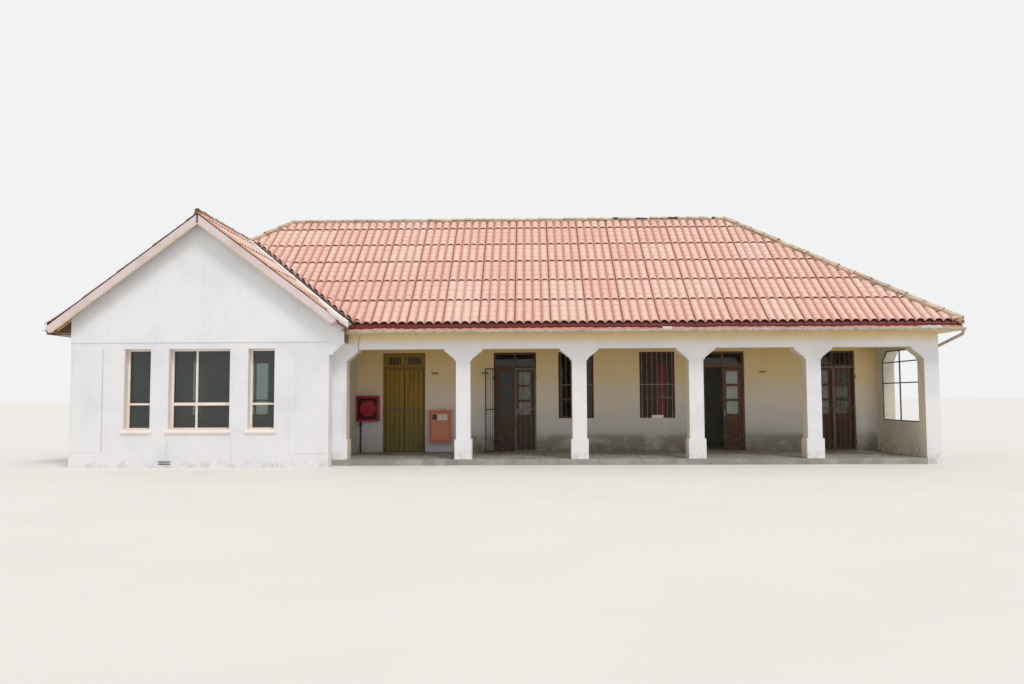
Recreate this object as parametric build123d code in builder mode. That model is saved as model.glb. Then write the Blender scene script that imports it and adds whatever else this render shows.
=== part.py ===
"""A small railway station building: a gabled wing, a hipped tile roof and a five-bay porch.

Millimetres. X runs along the front from left to right, Y from the porch side to the back, Z up.
The origin is on the ground in the middle of the walls' plan.
"""
from build123d import *
import os

os.makedirs("parts", exist_ok=True)

# Plan, over the outer faces of the walls
LENGTH = 21480
DEPTH = 8900
WING_WIDTH = 6410
WING_PROJECTION = 500
PORCH_DEPTH = 3000
WALL = 300

# Heights above the ground
FLOOR_HEIGHT = 150
EAVE_HEIGHT = 3510

# Drops to the tops of the walls and openings: first from the eave, then from the walls' top
EAVE_RISE = 240
GABLE_LAP = 200
BEAM_DEPTH = 370
LINTEL_DEPTH = 310
WING_LINTEL_DEPTH = 360

# Arcade of the porch
PIER_WIDTH = 360
PIER_DEPTH = 380
FIRST_BAY_EXTRA = 200
PIER_COUNT = 5
PILASTER_WIDTH = 330
PLINTH_HEIGHT = 490
PLINTH_STEP = 35
HAUNCH_REACH = 300
HAUNCH_DROP = 290
HAUNCH_STEP = 40
PARAPET_HEIGHT = 860
SIDE_JAMB = 380

# Roof
ROOF_SLOPE = 0.75
EAVE_OVERHANG = 490
END_OVERHANG = 430
VERGE_OVERHANG = 350
TILE_DEPTH = 75
DECK_DEPTH = 110
TILE_LAP = 60
MITRE_GAP = 0.5
PLATE_GAP = 0.3
RIM_WIDTH = 55
CEILING_DEPTH = 40
FASCIA_THICKNESS = 25
FASCIA_DROP = 5
CAP_RADIUS = 95
CAP_SINK = 25
CAP_OVERRUN = 60
BARGE_DEPTH = 250
BARGE_THICKNESS = 30
BARGE_SETBACK = 20

# Gable of the wing
GABLE_FRAME = 100
CLADDING = 20
CLADDING_REACH = 370
CORBEL_DROP = 320
CORBEL_STEP = 100

# Gutter and downpipe
GUTTER_WIDTH = 100
GUTTER_HEIGHT = 60
GUTTER_METAL = 4
PIPE_RADIUS = 37
PIPE_METAL = 3
PIPE_GAP = 8
PIPE_END_HEIGHT = 200
PIPE_BEND = 90
NECK_DROP = 90
NECK_FALL = 300
NECK_RUN = 800

# Windows of the wing
WING_SILL = 770
MIDDLE_WINDOW = 1515
SIDE_WINDOW = 650
SIDE_WINDOW_OFFSET = 1535
WINDOW_SETBACK = 210
WINDOW_DEPTH = 60
WINDOW_BAR = 40
TRANSOM_CENTRE = 1400
MIDDLE_TRANSOM = 64
SIDE_TRANSOM = 40
MULLION_SHARE = 0.41
SILL_DEPTH = 100
SILL_LIP = 50
GLASS = 6

# Windows of the porch and of the other walls
PORCH_WINDOW = 1000
PORCH_SILL = 930
PORCH_WINDOW_SETBACK = 60
PORCH_WINDOW_BAR = 55
FIRST_WINDOW_OFFSET = 260
SECOND_WINDOW_OFFSET = 707
LEFT_WINDOW_COUNT = 3
RIGHT_WINDOW_COUNT = 2
REAR_WINDOW_COUNT = 6

# Steel frame in the side opening of the porch
STEEL_BAR = 30
STEEL_SETBACK = 20
STEEL_RAIL_DROPS = (880, 320)

# Doorways of the porch
DOOR_1_OFFSET = 1342
DOOR_2_SHIFT = -204
DOOR_3_SHIFT = -118
DOOR_4_SHIFT = 81
DOORWAY_WIDTH = 1210
FRAME_SETBACK = 60
FRAME_DEPTH = 70
FRAME_BAR = 60
TRANSOM_BAR = 70
TRANSOM_LIGHT = 324
LEAF_THICKNESS = 45
LEAF_GAP = 6
LEAF_FLOOR_GAP = 10
STILE = 95
LIGHTS_FOOT = 1030
LIGHT_RAIL = 50
LIGHT_COUNT = 3
PANEL_RECESS = 12
PLANK_RAIL_HEIGHT = 1050
DOOR_3_LEFT_OPEN = 80

# Iron gates
HAS_GATE = (False, True, False, True)
GATE_DEPTH = 30
GATE_RECESS = 5
GATE_BAR_RADIUS = 7
GATE_BAR_COUNT = 3
GATE_RAIL_HEIGHT = 1180
GATE_2_LEFT_OPEN = 114

# Hinges
PIN_RADIUS = 6
PIN_FIT = 0.3
EYE_RADIUS = 11
HINGE_LENGTH = 70
HINGE_OFFSET = 17
HINGE_INSET = 260
LUG_HEIGHT = 14
LUG_REACH = 40
BOSS_RADIUS = 8
STRAP_LENGTH = 60
STRAP_REST = 4

# Cabinets on the back wall
FIRE_WIDTH = 660
FIRE_HEIGHT = 720
FIRE_BOTTOM = 870
CABINET_DEPTH = 200
CABINET_SHEET = 20
FIRE_RIM = 60
REEL_RADIUS = 230
REEL_DEPTH = 110
RISER_RADIUS = 22
RISER_OFFSET = 130
LOCKER_OFFSET = 1043
LOCKER_WIDTH = 620
LOCKER_HEIGHT = 910
LOCKER_BOTTOM = 270
LOCKER_RIM = 45
LOCKER_HINGE_INSET = 130
FITTING_WIDTH = 200
FITTING_HEIGHT = 45
FITTING_DEPTH = 35
FITTING_BASE = 2200
FITTING_OFFSETS = (884, -853, 1118)

# Places worked out from the sizes above
x_left, x_right = -LENGTH / 2, LENGTH / 2
y_front, y_rear = -DEPTH / 2, DEPTH / 2
x_wing = x_left + WING_WIDTH
x_ridge = (x_left + x_wing) / 2
y_porch = y_front + WING_PROJECTION
y_back = y_porch + PORCH_DEPTH
x_side = x_right - PIER_WIDTH
z_wall = EAVE_HEIGHT - EAVE_RISE
z_gable = z_wall - GABLE_LAP
z_beam = z_wall - BEAM_DEPTH
z_seat = z_beam - HAUNCH_DROP
z_head = z_wall - LINTEL_DEPTH
z_wing_head = z_wall - WING_LINTEL_DEPTH
z_leaf = z_head - FRAME_BAR - TRANSOM_LIGHT - TRANSOM_BAR - LEAF_GAP
z_attic = z_wall + CEILING_DEPTH
eave_x = (x_left - EAVE_OVERHANG, x_right + END_OVERHANG)
eave_y = (y_porch - EAVE_OVERHANG, y_rear + EAVE_OVERHANG)
wing_eave_x = (x_left - EAVE_OVERHANG, x_wing + EAVE_OVERHANG)
y_verge = y_front - VERGE_OVERHANG
roof_run = (eave_y[1] - eave_y[0]) / 2
y_ridge = (eave_y[0] + eave_y[1]) / 2

# Bays of equal width between the pilaster and the corner pier, but for a wider first one
bays_length = x_side - x_wing - PILASTER_WIDTH - PIER_WIDTH * (PIER_COUNT - 1)
bay_pitch = (bays_length - FIRST_BAY_EXTRA) / PIER_COUNT + PIER_WIDTH
pier_centres = [x_right - PIER_WIDTH / 2 - bay_pitch * n for n in reversed(range(PIER_COUNT))]
bay_starts = [x_wing + PILASTER_WIDTH] + [x + PIER_WIDTH / 2 for x in pier_centres[:-1]]
bay_ends = [x - PIER_WIDTH / 2 for x in pier_centres]
bay_centres = [(start + end) / 2 for start, end in zip(bay_starts, bay_ends)]

# Doors from the wing's corner and from the middles of their bays, and what is placed from them
door_centres = (
    x_wing + DOOR_1_OFFSET,
    bay_centres[1] + DOOR_2_SHIFT,
    bay_centres[-2] + DOOR_3_SHIFT,
    bay_centres[-1] + DOOR_4_SHIFT,
)
window_centres = (bay_ends[1] + FIRST_WINDOW_OFFSET, bay_starts[-2] - SECOND_WINDOW_OFFSET)
locker_centre = door_centres[0] + LOCKER_OFFSET
fitting_centres = [door + shift for door, shift in zip(door_centres, FITTING_OFFSETS)]


def save(piece, node):
    """Labels a finished piece and writes it as its own file."""
    piece.label = node
    export_step(piece, f"parts/{node}.step")


def facing_front(y):
    """The upright plane at y, drawn with X across and Z up; a negative extrusion goes back."""
    return Plane.XZ.offset(-y)


def facing_side(x):
    """The upright plane at x, drawn with Y across and Z up; extrusion goes towards +X."""
    return Plane.YZ.offset(x)


def outline(plane, points):
    """A flat face inside a closed row of corner points."""
    with BuildSketch(plane) as face:
        with BuildLine():
            Polyline(*points, close=True)
        make_face()
    return face.sketch


def rectangle(low, high):
    """The corner points of a rectangle between two opposite corners."""
    return [low, (high[0], low[1]), high, (low[0], high[1])]


def block(x, y, z, mode=Mode.ADD):
    """A rectangular block between pairs of X, Y and Z, put into the piece being made."""
    base = outline(Plane.XY.offset(z[0]), rectangle((x[0], y[0]), (x[1], y[1])))
    extrude(base, amount=z[1] - z[0], mode=mode)


def post(x, y, z, radius, mode=Mode.ADD):
    """An upright round bar between two heights, put into the piece being made."""
    with BuildSketch(Plane.XY.offset(z[0])) as base:
        with Locations((x, y)):
            Circle(radius)
    extrude(base.sketch, amount=z[1] - z[0], mode=mode)


def spans(centres, width):
    """The left and right edges of openings of one width about their centres."""
    return [(centre - width / 2, centre + width / 2) for centre in centres]


def evenly(low, high, count, width):
    """The edges of openings of one width in the middles of equal lengths of a wall."""
    pitch = (high - low) / count
    return spans([low + pitch * (n + 0.5) for n in range(count)], width)


def haunched(starts, ends, plane_low, plane_high):
    """The corner points under a beam, with its stepped haunches at both ends of each opening."""
    points = []
    for start, end in zip(starts, ends):
        left = [
            (start + HAUNCH_STEP, z_seat),
            (start + HAUNCH_STEP, z_seat + HAUNCH_STEP),
            (start + HAUNCH_REACH, z_beam - HAUNCH_STEP),
            (start + HAUNCH_REACH, z_beam),
        ]
        right = [(start + end - across, up) for across, up in reversed(left)]
        points += left + right
    return [plane_low] + points + [plane_high]


# Floors
def make_floors():
    """The porch floor and the floor of the rooms, which also carries the porch's back wall."""
    with BuildPart() as porch_floor:
        block((x_wing, x_side), (y_porch - PLINTH_STEP, y_back), (0, FLOOR_HEIGHT))
    save(porch_floor.part, "porch_floor")

    inner = (x_left + WALL, x_right - WALL)
    corners = [
        (inner[0], y_front + WALL),
        (x_wing - WALL, y_front + WALL),
        (x_wing - WALL, y_back),
        (inner[1], y_back),
        (inner[1], y_rear - WALL),
        (inner[0], y_rear - WALL),
    ]
    with BuildPart() as room_floor:
        extrude(outline(Plane.XY, corners), amount=FLOOR_HEIGHT)
    save(room_floor.part, "room_floor")


# Outer walls
def wall_along_x(x, y, openings, foot, head):
    """A wall parallel to the front with rectangular openings cut through it."""
    with BuildPart() as wall:
        extrude(outline(facing_front(y[0]), rectangle((x[0], 0), (x[1], z_wall))), amount=y[0] - y[1])
        for start, end in openings:
            block((start, end), y, (foot, head), mode=Mode.SUBTRACT)
    return wall.part


def wall_along_y(x, y, openings, foot, head):
    """A wall square to the front with rectangular openings cut through it."""
    with BuildPart() as wall:
        extrude(outline(facing_side(x[0]), rectangle((y[0], 0), (y[1], z_wall))), amount=x[1] - x[0])
        for start, end in openings:
            block(x, (start, end), (foot, head), mode=Mode.SUBTRACT)
    return wall.part


def wing_window_spans():
    """The edges of the wing's three windows, from left to right."""
    sides = spans((x_ridge - SIDE_WINDOW_OFFSET, x_ridge + SIDE_WINDOW_OFFSET), SIDE_WINDOW)
    middle = spans((x_ridge,), MIDDLE_WINDOW)
    return [sides[0], middle[0], sides[1]]


def left_window_spans():
    """The edges of the windows along the left wall."""
    return evenly(y_front + WALL, y_rear, LEFT_WINDOW_COUNT, PORCH_WINDOW)


def right_window_spans():
    """The edges of the windows along the right wall."""
    return evenly(y_back, y_rear, RIGHT_WINDOW_COUNT, PORCH_WINDOW)


def rear_window_spans():
    """The edges of the windows along the rear wall."""
    return evenly(x_left, x_right, REAR_WINDOW_COUNT, PORCH_WINDOW)


def make_outer_walls():
    """The wing's front and side walls and the left, rear and right walls of the rooms."""
    z = (FLOOR_HEIGHT + WING_SILL, z_wing_head)
    front = wall_along_x((x_left, x_wing), (y_front, y_front + WALL), wing_window_spans(), *z)
    save(front, "wing_front_wall")

    with BuildPart() as wing_side:
        block((x_wing - WALL, x_wing), (y_front + WALL, y_back), (0, z_wall))
    save(wing_side.part, "wing_side_wall")

    z = (FLOOR_HEIGHT + PORCH_SILL, z_head)
    left = wall_along_y((x_left, x_left + WALL), (y_front + WALL, y_rear), left_window_spans(), *z)
    save(left, "left_wall")

    right = wall_along_y((x_right - WALL, x_right), (y_back, y_rear), right_window_spans(), *z)
    save(right, "right_wall")

    inner = (x_left + WALL, x_right - WALL)
    rear = wall_along_x(inner, (y_rear - WALL, y_rear), rear_window_spans(), *z)
    save(rear, "rear_wall")


# Back wall of the porch, in lengths beside its doorways and lintels over them
def make_back_wall():
    """Five lengths of wall between the doorways, and the lintel over each doorway."""
    doorways = spans(door_centres, DOORWAY_WIDTH)
    starts = [x_wing - WALL] + [end for _, end in doorways]
    ends = [start for start, _ in doorways] + [x_right - WALL]
    thick = (y_back, y_back + WALL)
    with BuildPart() as back_wall:
        for start, end in zip(starts, ends):
            block((start, end), thick, (FLOOR_HEIGHT, z_wall))
        for window in spans(window_centres, PORCH_WINDOW):
            block(window, thick, (FLOOR_HEIGHT + PORCH_SILL, z_head), mode=Mode.SUBTRACT)
    save(back_wall.part, "porch_back_wall")

    with BuildPart() as lintels:
        for doorway in doorways:
            block(doorway, thick, (z_head, z_wall))
    save(lintels.part, "door_lintels")


# Arcade
def make_arcade():
    """Piers with plinths, the end pilaster, the corner pier, the beam and the porch's side wall."""
    depth = (y_porch, y_porch + PIER_DEPTH)
    plinth_depth = (depth[0] - PLINTH_STEP, depth[1] + PLINTH_STEP)
    plinth_top = FLOOR_HEIGHT + PLINTH_HEIGHT
    with BuildPart() as piers:
        for centre in pier_centres[:-1]:
            half = PIER_WIDTH / 2
            block((centre - half, centre + half), depth, (FLOOR_HEIGHT, z_seat))
            foot = (centre - half - PLINTH_STEP, centre + half + PLINTH_STEP)
            block(foot, plinth_depth, (FLOOR_HEIGHT, plinth_top))
        block((x_wing, x_wing + PILASTER_WIDTH), depth, (FLOOR_HEIGHT, z_seat))
        block((x_wing, x_wing + PILASTER_WIDTH + PLINTH_STEP), plinth_depth, (FLOOR_HEIGHT, plinth_top))
        block((x_side, x_right), depth, (0, z_seat))
    save(piers.part, "arcade_piers")

    under = haunched(bay_starts, bay_ends, (x_wing, z_seat), (x_right, z_seat))
    with BuildPart() as beam:
        face = outline(facing_front(y_porch), [(x_wing, z_wall)] + under + [(x_right, z_wall)])
        extrude(face, amount=-PIER_DEPTH)
    save(beam.part, "arcade_beam")

    start, end = depth[1], y_back - SIDE_JAMB
    z_parapet = FLOOR_HEIGHT + PARAPET_HEIGHT
    with BuildPart() as side_wall:
        wall = outline(facing_side(x_side), rectangle((depth[1], 0), (y_back, z_wall)))
        extrude(wall, amount=PIER_WIDTH)
        gap = outline(facing_side(x_side), side_opening(start, end, z_parapet, 0))
        extrude(gap, amount=PIER_WIDTH, mode=Mode.SUBTRACT)
    save(side_wall.part, "porch_side_wall")


def side_opening(start, end, z_foot, inset):
    """The corner points of the porch's side opening, drawn in by an inset."""
    rise = [
        (start + inset, z_foot + inset),
        (start + inset, z_seat),
        (start + HAUNCH_STEP + inset, z_seat + HAUNCH_STEP),
        (start + HAUNCH_REACH + inset, z_beam - inset),
    ]
    fall = [(start + end - across, up) for across, up in reversed(rise)]
    return rise + fall


# Ceiling and roof
def ridge_height(run, drop=0):
    """The height of a roof surface at the end of its run."""
    return EAVE_HEIGHT - drop + run * ROOF_SLOPE


def hip_meeting():
    """Where the hidden front hip leaves the wing's left slope: the wing's ridge end."""
    run = (wing_eave_x[1] - wing_eave_x[0]) / 2
    return (x_ridge, eave_y[0] + run, ridge_height(run))


def hipped_form(inset, drop, z_base):
    """The solid under the main roof's four slopes, drawn in at its sides and lowered."""
    x0, x1 = eave_x[0] + inset, eave_x[1] - inset
    y0, y1 = eave_y[0] + inset, eave_y[1] - inset
    z_side = ridge_height(inset, drop)
    z_top = ridge_height(roof_run, drop)
    run = roof_run - inset
    slopes = [(y0, z_base), (y1, z_base), (y1, z_side), (y_ridge, z_top), (y0, z_side)]
    ends = [(x0, z_base), (x1, z_base), (x1, z_side), (x1 - run, z_top), (x0 + run, z_top), (x0, z_side)]
    with BuildPart(mode=Mode.PRIVATE) as form:
        extrude(outline(facing_side(x0), slopes), amount=x1 - x0)
        extrude(outline(facing_front(y0), ends), amount=y0 - y1, mode=Mode.INTERSECT)
    return form.part


def wing_form(inset, drop, z_base, y_start):
    """The solid under the wing's two slopes, from y_start back to where its ridge meets the hip."""
    x0, x1 = wing_eave_x[0] + inset, wing_eave_x[1] - inset
    run = (wing_eave_x[1] - wing_eave_x[0]) / 2
    z_side = ridge_height(inset, drop)
    section = [(x0, z_base), (x1, z_base), (x1, z_side), (x_ridge, ridge_height(run, drop)), (x0, z_side)]
    with BuildPart(mode=Mode.PRIVATE) as form:
        extrude(outline(facing_front(y_start), section), amount=y_start - hip_meeting()[1])
    return form.part


def slope_slab(eave, inward, plan, drop, depth):
    """One flat slab of the roof: a sheet that rises inward from its eave line, cut to its plan."""
    inward = Vector(*inward)
    section = [(0, ridge_height(0, drop)), (roof_run, ridge_height(roof_run, drop))]
    section += [(run, height - depth) for run, height in reversed(section)]
    with BuildPart(mode=Mode.PRIVATE) as slab:
        edge = offset(outline(Plane.XY, plan), amount=-MITRE_GAP / 2, kind=Kind.INTERSECTION)
        extrude(edge, amount=ridge_height(roof_run))
        sheet = outline(Plane(origin=eave, x_dir=inward, z_dir=inward.cross(Vector(0, 0, 1))), section)
        extrude(sheet, amount=LENGTH, both=True, mode=Mode.INTERSECT)
    return slab.part


def slope_slabs(lap, y_wing, drop, depth):
    """The slabs of the four main slopes and the two wing slopes, drawn in by a lap at the eaves."""
    x0, x1, x2 = eave_x[0] + lap, wing_eave_x[1] - lap, eave_x[1] - lap
    y0, y1 = eave_y[0] + lap, eave_y[1] - lap
    meet = hip_meeting()[:2]
    ridge_left, ridge_right = (eave_x[0] + roof_run, y_ridge), (eave_x[1] - roof_run, y_ridge)
    front = [(x1, y0), (x2, y0), ridge_right, ridge_left, meet]
    rear = [(x0, y1), ridge_left, ridge_right, (x2, y1)]
    right = [(x2, y0), (x2, y1), ridge_right]
    left = [(x0, meet[1]), meet, ridge_left, (x0, y1)]
    wing_left = [(x0, y_wing), (x_ridge, y_wing), meet, (x0, meet[1])]
    wing_right = [(x_ridge, y_wing), (x1, y_wing), (x1, y0), meet]
    main = [
        slope_slab((0, eave_y[0], 0), (0, 1, 0), front, drop, depth),
        slope_slab((0, eave_y[1], 0), (0, -1, 0), rear, drop, depth),
        slope_slab((eave_x[1], 0, 0), (-1, 0, 0), right, drop, depth),
        slope_slab((eave_x[0], 0, 0), (1, 0, 0), left, drop, depth),
    ]
    wing = [
        slope_slab((wing_eave_x[0], 0, 0), (1, 0, 0), wing_left, drop, depth),
        slope_slab((wing_eave_x[1], 0, 0), (-1, 0, 0), wing_right, drop, depth),
    ]
    return main, wing


def eave_boards(outer, inner, z):
    """Five straight boards round the eaves, between two distances in from the tile edge."""
    deck_front = y_verge + BARGE_SETBACK + BARGE_THICKNESS
    x0, x1, x2 = eave_x[0], wing_eave_x[1], eave_x[1]
    y0, y1 = eave_y
    gap = MITRE_GAP
    block((x0 + outer, x2 - outer), (y1 - inner, y1 - outer), z)
    block((x0 + outer, x0 + inner), (deck_front, y1 - inner - gap), z)
    block((x2 - inner, x2 - outer), (y0 + outer, y1 - inner - gap), z)
    block((x1 - outer + gap, x2 - inner - gap), (y0 + outer, y0 + inner), z)
    block((x1 - inner, x1 - outer), (deck_front, y0 + inner), z)


def make_roof():
    """Ceiling with its eave boards, roof deck on its plates, and the tile layers."""
    deck_front = y_verge + BARGE_SETBACK + BARGE_THICKNESS
    depth = (eave_y[0] + TILE_LAP, eave_y[1] - TILE_LAP)
    with BuildPart() as ceiling:
        block((eave_x[0] + TILE_LAP, eave_x[1] - TILE_LAP), depth, (z_wall, z_attic))
        block((wing_eave_x[0] + TILE_LAP, wing_eave_x[1] - TILE_LAP), (y_front, depth[0] - PLATE_GAP), (z_wall, z_attic))
    save(ceiling.part, "ceiling")

    main, wing = slope_slabs(TILE_LAP, deck_front, TILE_DEPTH, DECK_DEPTH)
    with BuildPart() as deck:
        for slab in main + wing:
            add(slab)
        z_plate = ridge_height(TILE_LAP, TILE_DEPTH + DECK_DEPTH) - PLATE_GAP
        eave_boards(TILE_LAP, TILE_LAP + RIM_WIDTH, (z_attic, z_plate))
    save(deck.part, "roof_deck")

    main, wing = slope_slabs(0, y_verge, 0, TILE_DEPTH)
    for node, slabs in (("main_roof_tiles", main), ("wing_roof_tiles", wing)):
        with BuildPart() as tiles:
            for slab in slabs:
                add(slab)
        save(tiles.part, node)


def cap_run(start, end):
    """A round run of ridge caps between two points, put into the piece being made."""
    axis = (Vector(*end) - Vector(*start)).normalized()
    origin = Vector(*start) - axis * CAP_OVERRUN
    length = (Vector(*end) - Vector(*start)).length + 2 * CAP_OVERRUN
    with BuildSketch(Plane(origin=origin, z_dir=axis)) as ring:
        Circle(CAP_RADIUS)
    extrude(ring.sketch, amount=length)


def make_caps():
    """The caps on the main ridge and its hips, and on the wing's ridge."""
    z_ridge = ridge_height(roof_run) - CAP_SINK
    z_eave = EAVE_HEIGHT - CAP_SINK
    ends = (eave_x[0] + roof_run, eave_x[1] - roof_run)
    z_wing = ridge_height((wing_eave_x[1] - wing_eave_x[0]) / 2) - CAP_SINK
    with BuildPart() as caps:
        cap_run((x_ridge, y_verge + CAP_OVERRUN, z_wing), (x_ridge, hip_meeting()[1], z_wing))
        cap_run((ends[0], y_ridge, z_ridge), (ends[1], y_ridge, z_ridge))
        for x_corner, x_end in zip(eave_x, ends):
            for y_corner in eave_y:
                if (x_corner, y_corner) != (eave_x[0], eave_y[0]):
                    cap_run((x_corner, y_corner, z_eave), (x_end, y_ridge, z_ridge))
        meet = hip_meeting()
        cap_run((meet[0], meet[1], meet[2] - CAP_SINK), (ends[0], y_ridge, z_ridge))
        add(hipped_form(0, 0, z_attic), mode=Mode.SUBTRACT)
        add(wing_form(0, 0, z_attic, y_verge), mode=Mode.SUBTRACT)
        block((eave_x[0] - CAP_RADIUS, eave_x[1] + CAP_RADIUS), (eave_y[0] - CAP_RADIUS, eave_y[1] + CAP_RADIUS),
              (z_attic - CAP_RADIUS, EAVE_HEIGHT - TILE_DEPTH), mode=Mode.SUBTRACT)
    save(caps.part, "ridge_caps")


def make_eave_trim():
    """Fascia boards under the tile edges, and the bargeboards of the wing's gable."""
    z_fascia = (z_wall - FASCIA_DROP, ridge_height(TILE_LAP - FASCIA_THICKNESS, TILE_DEPTH))
    with BuildPart() as fascia:
        eave_boards(TILE_LAP - FASCIA_THICKNESS, TILE_LAP, z_fascia)
    save(fascia.part, "eave_fascia")

    half = (wing_eave_x[1] - wing_eave_x[0]) / 2
    z_foot = ridge_height(0, TILE_DEPTH)
    z_apex = ridge_height(half, TILE_DEPTH)
    boards = [
        (wing_eave_x[0], z_foot),
        (x_ridge, z_apex),
        (wing_eave_x[1], z_foot),
        (wing_eave_x[1], z_foot - BARGE_DEPTH),
        (x_ridge, z_apex - BARGE_DEPTH),
        (wing_eave_x[0], z_foot - BARGE_DEPTH),
    ]
    with BuildPart() as barge:
        extrude(outline(facing_front(y_verge + BARGE_SETBACK), boards), amount=-BARGE_THICKNESS)
    save(barge.part, "bargeboards")


def make_gable():
    """The gable's frame on the ceiling, its flat cladding, and the corbel beside the wing."""
    hollow_inset = TILE_LAP + RIM_WIDTH
    drop = TILE_DEPTH + DECK_DEPTH
    half = (wing_eave_x[1] - wing_eave_x[0]) / 2
    x0, x1 = wing_eave_x[0] + hollow_inset, wing_eave_x[1] - hollow_inset
    z_side = ridge_height(hollow_inset, drop)
    pentagon = [(x0, z_attic), (x1, z_attic), (x1, z_side), (x_ridge, ridge_height(half, drop)), (x0, z_side)]
    with BuildPart() as gable:
        extrude(outline(facing_front(y_front), pentagon), amount=-GABLE_FRAME)
    save(gable.part, "wing_gable")

    x_end = x_wing + CLADDING_REACH
    z_left = ridge_height(x_left - wing_eave_x[0], drop)
    z_right = ridge_height(wing_eave_x[1] - x_end, drop)
    sheet = [
        (x_left, z_gable),
        (x_end, z_gable),
        (x_end, z_right),
        (x_ridge, ridge_height(half, drop)),
        (x_left, z_left),
    ]
    with BuildPart() as cladding:
        extrude(outline(facing_front(y_front - CLADDING), sheet), amount=-CLADDING)
    save(cladding.part, "gable_cladding")

    steps = [
        (x_wing, z_gable - CORBEL_DROP),
        (x_wing + CORBEL_STEP, z_gable - CORBEL_DROP),
        (x_wing + CORBEL_STEP, z_gable - CORBEL_DROP + HAUNCH_STEP),
        (x_end, z_gable - HAUNCH_STEP),
        (x_end, z_wall),
        (x_wing, z_wall),
    ]
    with BuildPart() as corbel:
        extrude(outline(facing_front(y_front), steps), amount=-WING_PROJECTION)
    save(corbel.part, "wing_corbel")


# Gutter and downpipe
def make_rainwater():
    """The box gutter of flat strips along the porch eave, and the swan-neck pipe down the side wall."""
    x0 = wing_eave_x[1] - TILE_LAP + FASCIA_THICKNESS
    x1 = eave_x[1]
    y_out = eave_y[0] + TILE_LAP - FASCIA_THICKNESS
    y_in = y_out - GUTTER_WIDTH
    z0 = z_wall
    z1 = z0 + GUTTER_HEIGHT
    metal = GUTTER_METAL
    x_pipe = x1 - GUTTER_WIDTH / 2
    y_pipe = (y_in + y_out) / 2
    foot = z0 + metal + PLATE_GAP
    sides = (y_in + metal + PLATE_GAP, y_out - metal - PLATE_GAP)
    with BuildPart() as gutter:
        block((x0, x1), (y_in, y_out), (z0, z0 + metal))
        post(x_pipe, y_pipe, (z0, z0 + metal), PIPE_RADIUS - PIPE_METAL, mode=Mode.SUBTRACT)
        block((x0, x1), (y_in, y_in + metal), (foot, z1))
        block((x0, x1), (y_out - metal, y_out), (foot, z1))
        block((x0, x0 + metal), sides, (foot, z1))
        block((x1 - metal, x1), sides, (foot, z1))
    save(gutter.part, "front_gutter")

    x_wall = x_right + PIPE_GAP + PIPE_RADIUS
    route = [
        (x_pipe, y_pipe, z0),
        (x_pipe, y_pipe, z0 - NECK_DROP),
        (x_wall, y_pipe + NECK_RUN, z0 - NECK_DROP - NECK_FALL),
        (x_wall, y_pipe + NECK_RUN, PIPE_END_HEIGHT),
    ]
    with BuildPart() as pipe:
        with BuildLine() as path:
            FilletPolyline(*route, radius=PIPE_BEND)
        with BuildSketch(Plane(origin=route[0], z_dir=(0, 0, -1))):
            Circle(PIPE_RADIUS)
            Circle(PIPE_RADIUS - PIPE_METAL, mode=Mode.SUBTRACT)
        sweep(path=path.wires()[0])
        for height in (z_seat, PLINTH_HEIGHT):
            block((x_right, x_wall), (route[2][1] - PIPE_GAP, route[2][1] + PIPE_GAP), (height, height + STEEL_BAR))
            post(x_wall, route[2][1], (height, height + STEEL_BAR), PIPE_RADIUS - PIPE_METAL, mode=Mode.SUBTRACT)
    save(pipe.part, "downpipe")


# Windows
def frame_with_lights(x, z, y, bar, mullions, transoms):
    """A window frame parallel to the front, its lights left open; transoms are (centre, width)."""
    with BuildPart() as frame:
        block(x, (y, y + WINDOW_DEPTH), z)
        block((x[0] + bar, x[1] - bar), (y, y + WINDOW_DEPTH), (z[0] + bar, z[1] - bar), mode=Mode.SUBTRACT)
        for centre in mullions:
            block((centre - bar / 2, centre + bar / 2), (y, y + WINDOW_DEPTH), (z[0] + bar, z[1] - bar))
        for centre, width in transoms:
            span = (centre - width / 2, centre + width / 2)
            block((x[0] + bar, x[1] - bar), (y, y + WINDOW_DEPTH), span)
    return frame.part


def panes_between(x, z, y, bar, mullions, transoms):
    """The glass of a frame's lights, one pane to a light."""
    across = [x[0] + bar] + [edge for m in mullions for edge in (m - bar / 2, m + bar / 2)] + [x[1] - bar]
    up = [z[0] + bar] + [edge for c, w in transoms for edge in (c - w / 2, c + w / 2)] + [z[1] - bar]
    middle = y + WINDOW_DEPTH / 2
    with BuildPart() as glass:
        for left, right in zip(across[::2], across[1::2]):
            for low, high in zip(up[::2], up[1::2]):
                block((left, right), (middle - GLASS / 2, middle + GLASS / 2), (low, high))
    return glass.part


def make_wing_windows():
    """Three frames and projecting sills in the wing's front wall; gives back their glass."""
    z = (FLOOR_HEIGHT + WING_SILL, z_wing_head)
    y = y_front + WINDOW_SETBACK
    transom = FLOOR_HEIGHT + TRANSOM_CENTRE
    openings = wing_window_spans()
    left, right = openings[1]
    mullion = left + (right - left) * MULLION_SHARE
    kinds = [([], SIDE_TRANSOM), ([mullion], MIDDLE_TRANSOM), ([], SIDE_TRANSOM)]
    with BuildPart() as frames:
        for x, (mullions, bar) in zip(openings, kinds):
            add(frame_with_lights(x, z, y, WINDOW_BAR, mullions, [(transom, bar)]))
    save(frames.part, "wing_windows")

    with BuildPart() as sills:
        for x in openings:
            block((x[0] - SILL_LIP, x[1] + SILL_LIP), (y_front - SILL_LIP, y_front), (z[0] - SILL_DEPTH, z[0]))
    save(sills.part, "wing_window_sills")
    return [
        panes_between(x, z, y, WINDOW_BAR, mullions, [(transom, bar)])
        for x, (mullions, bar) in zip(openings, kinds)
    ]


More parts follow.
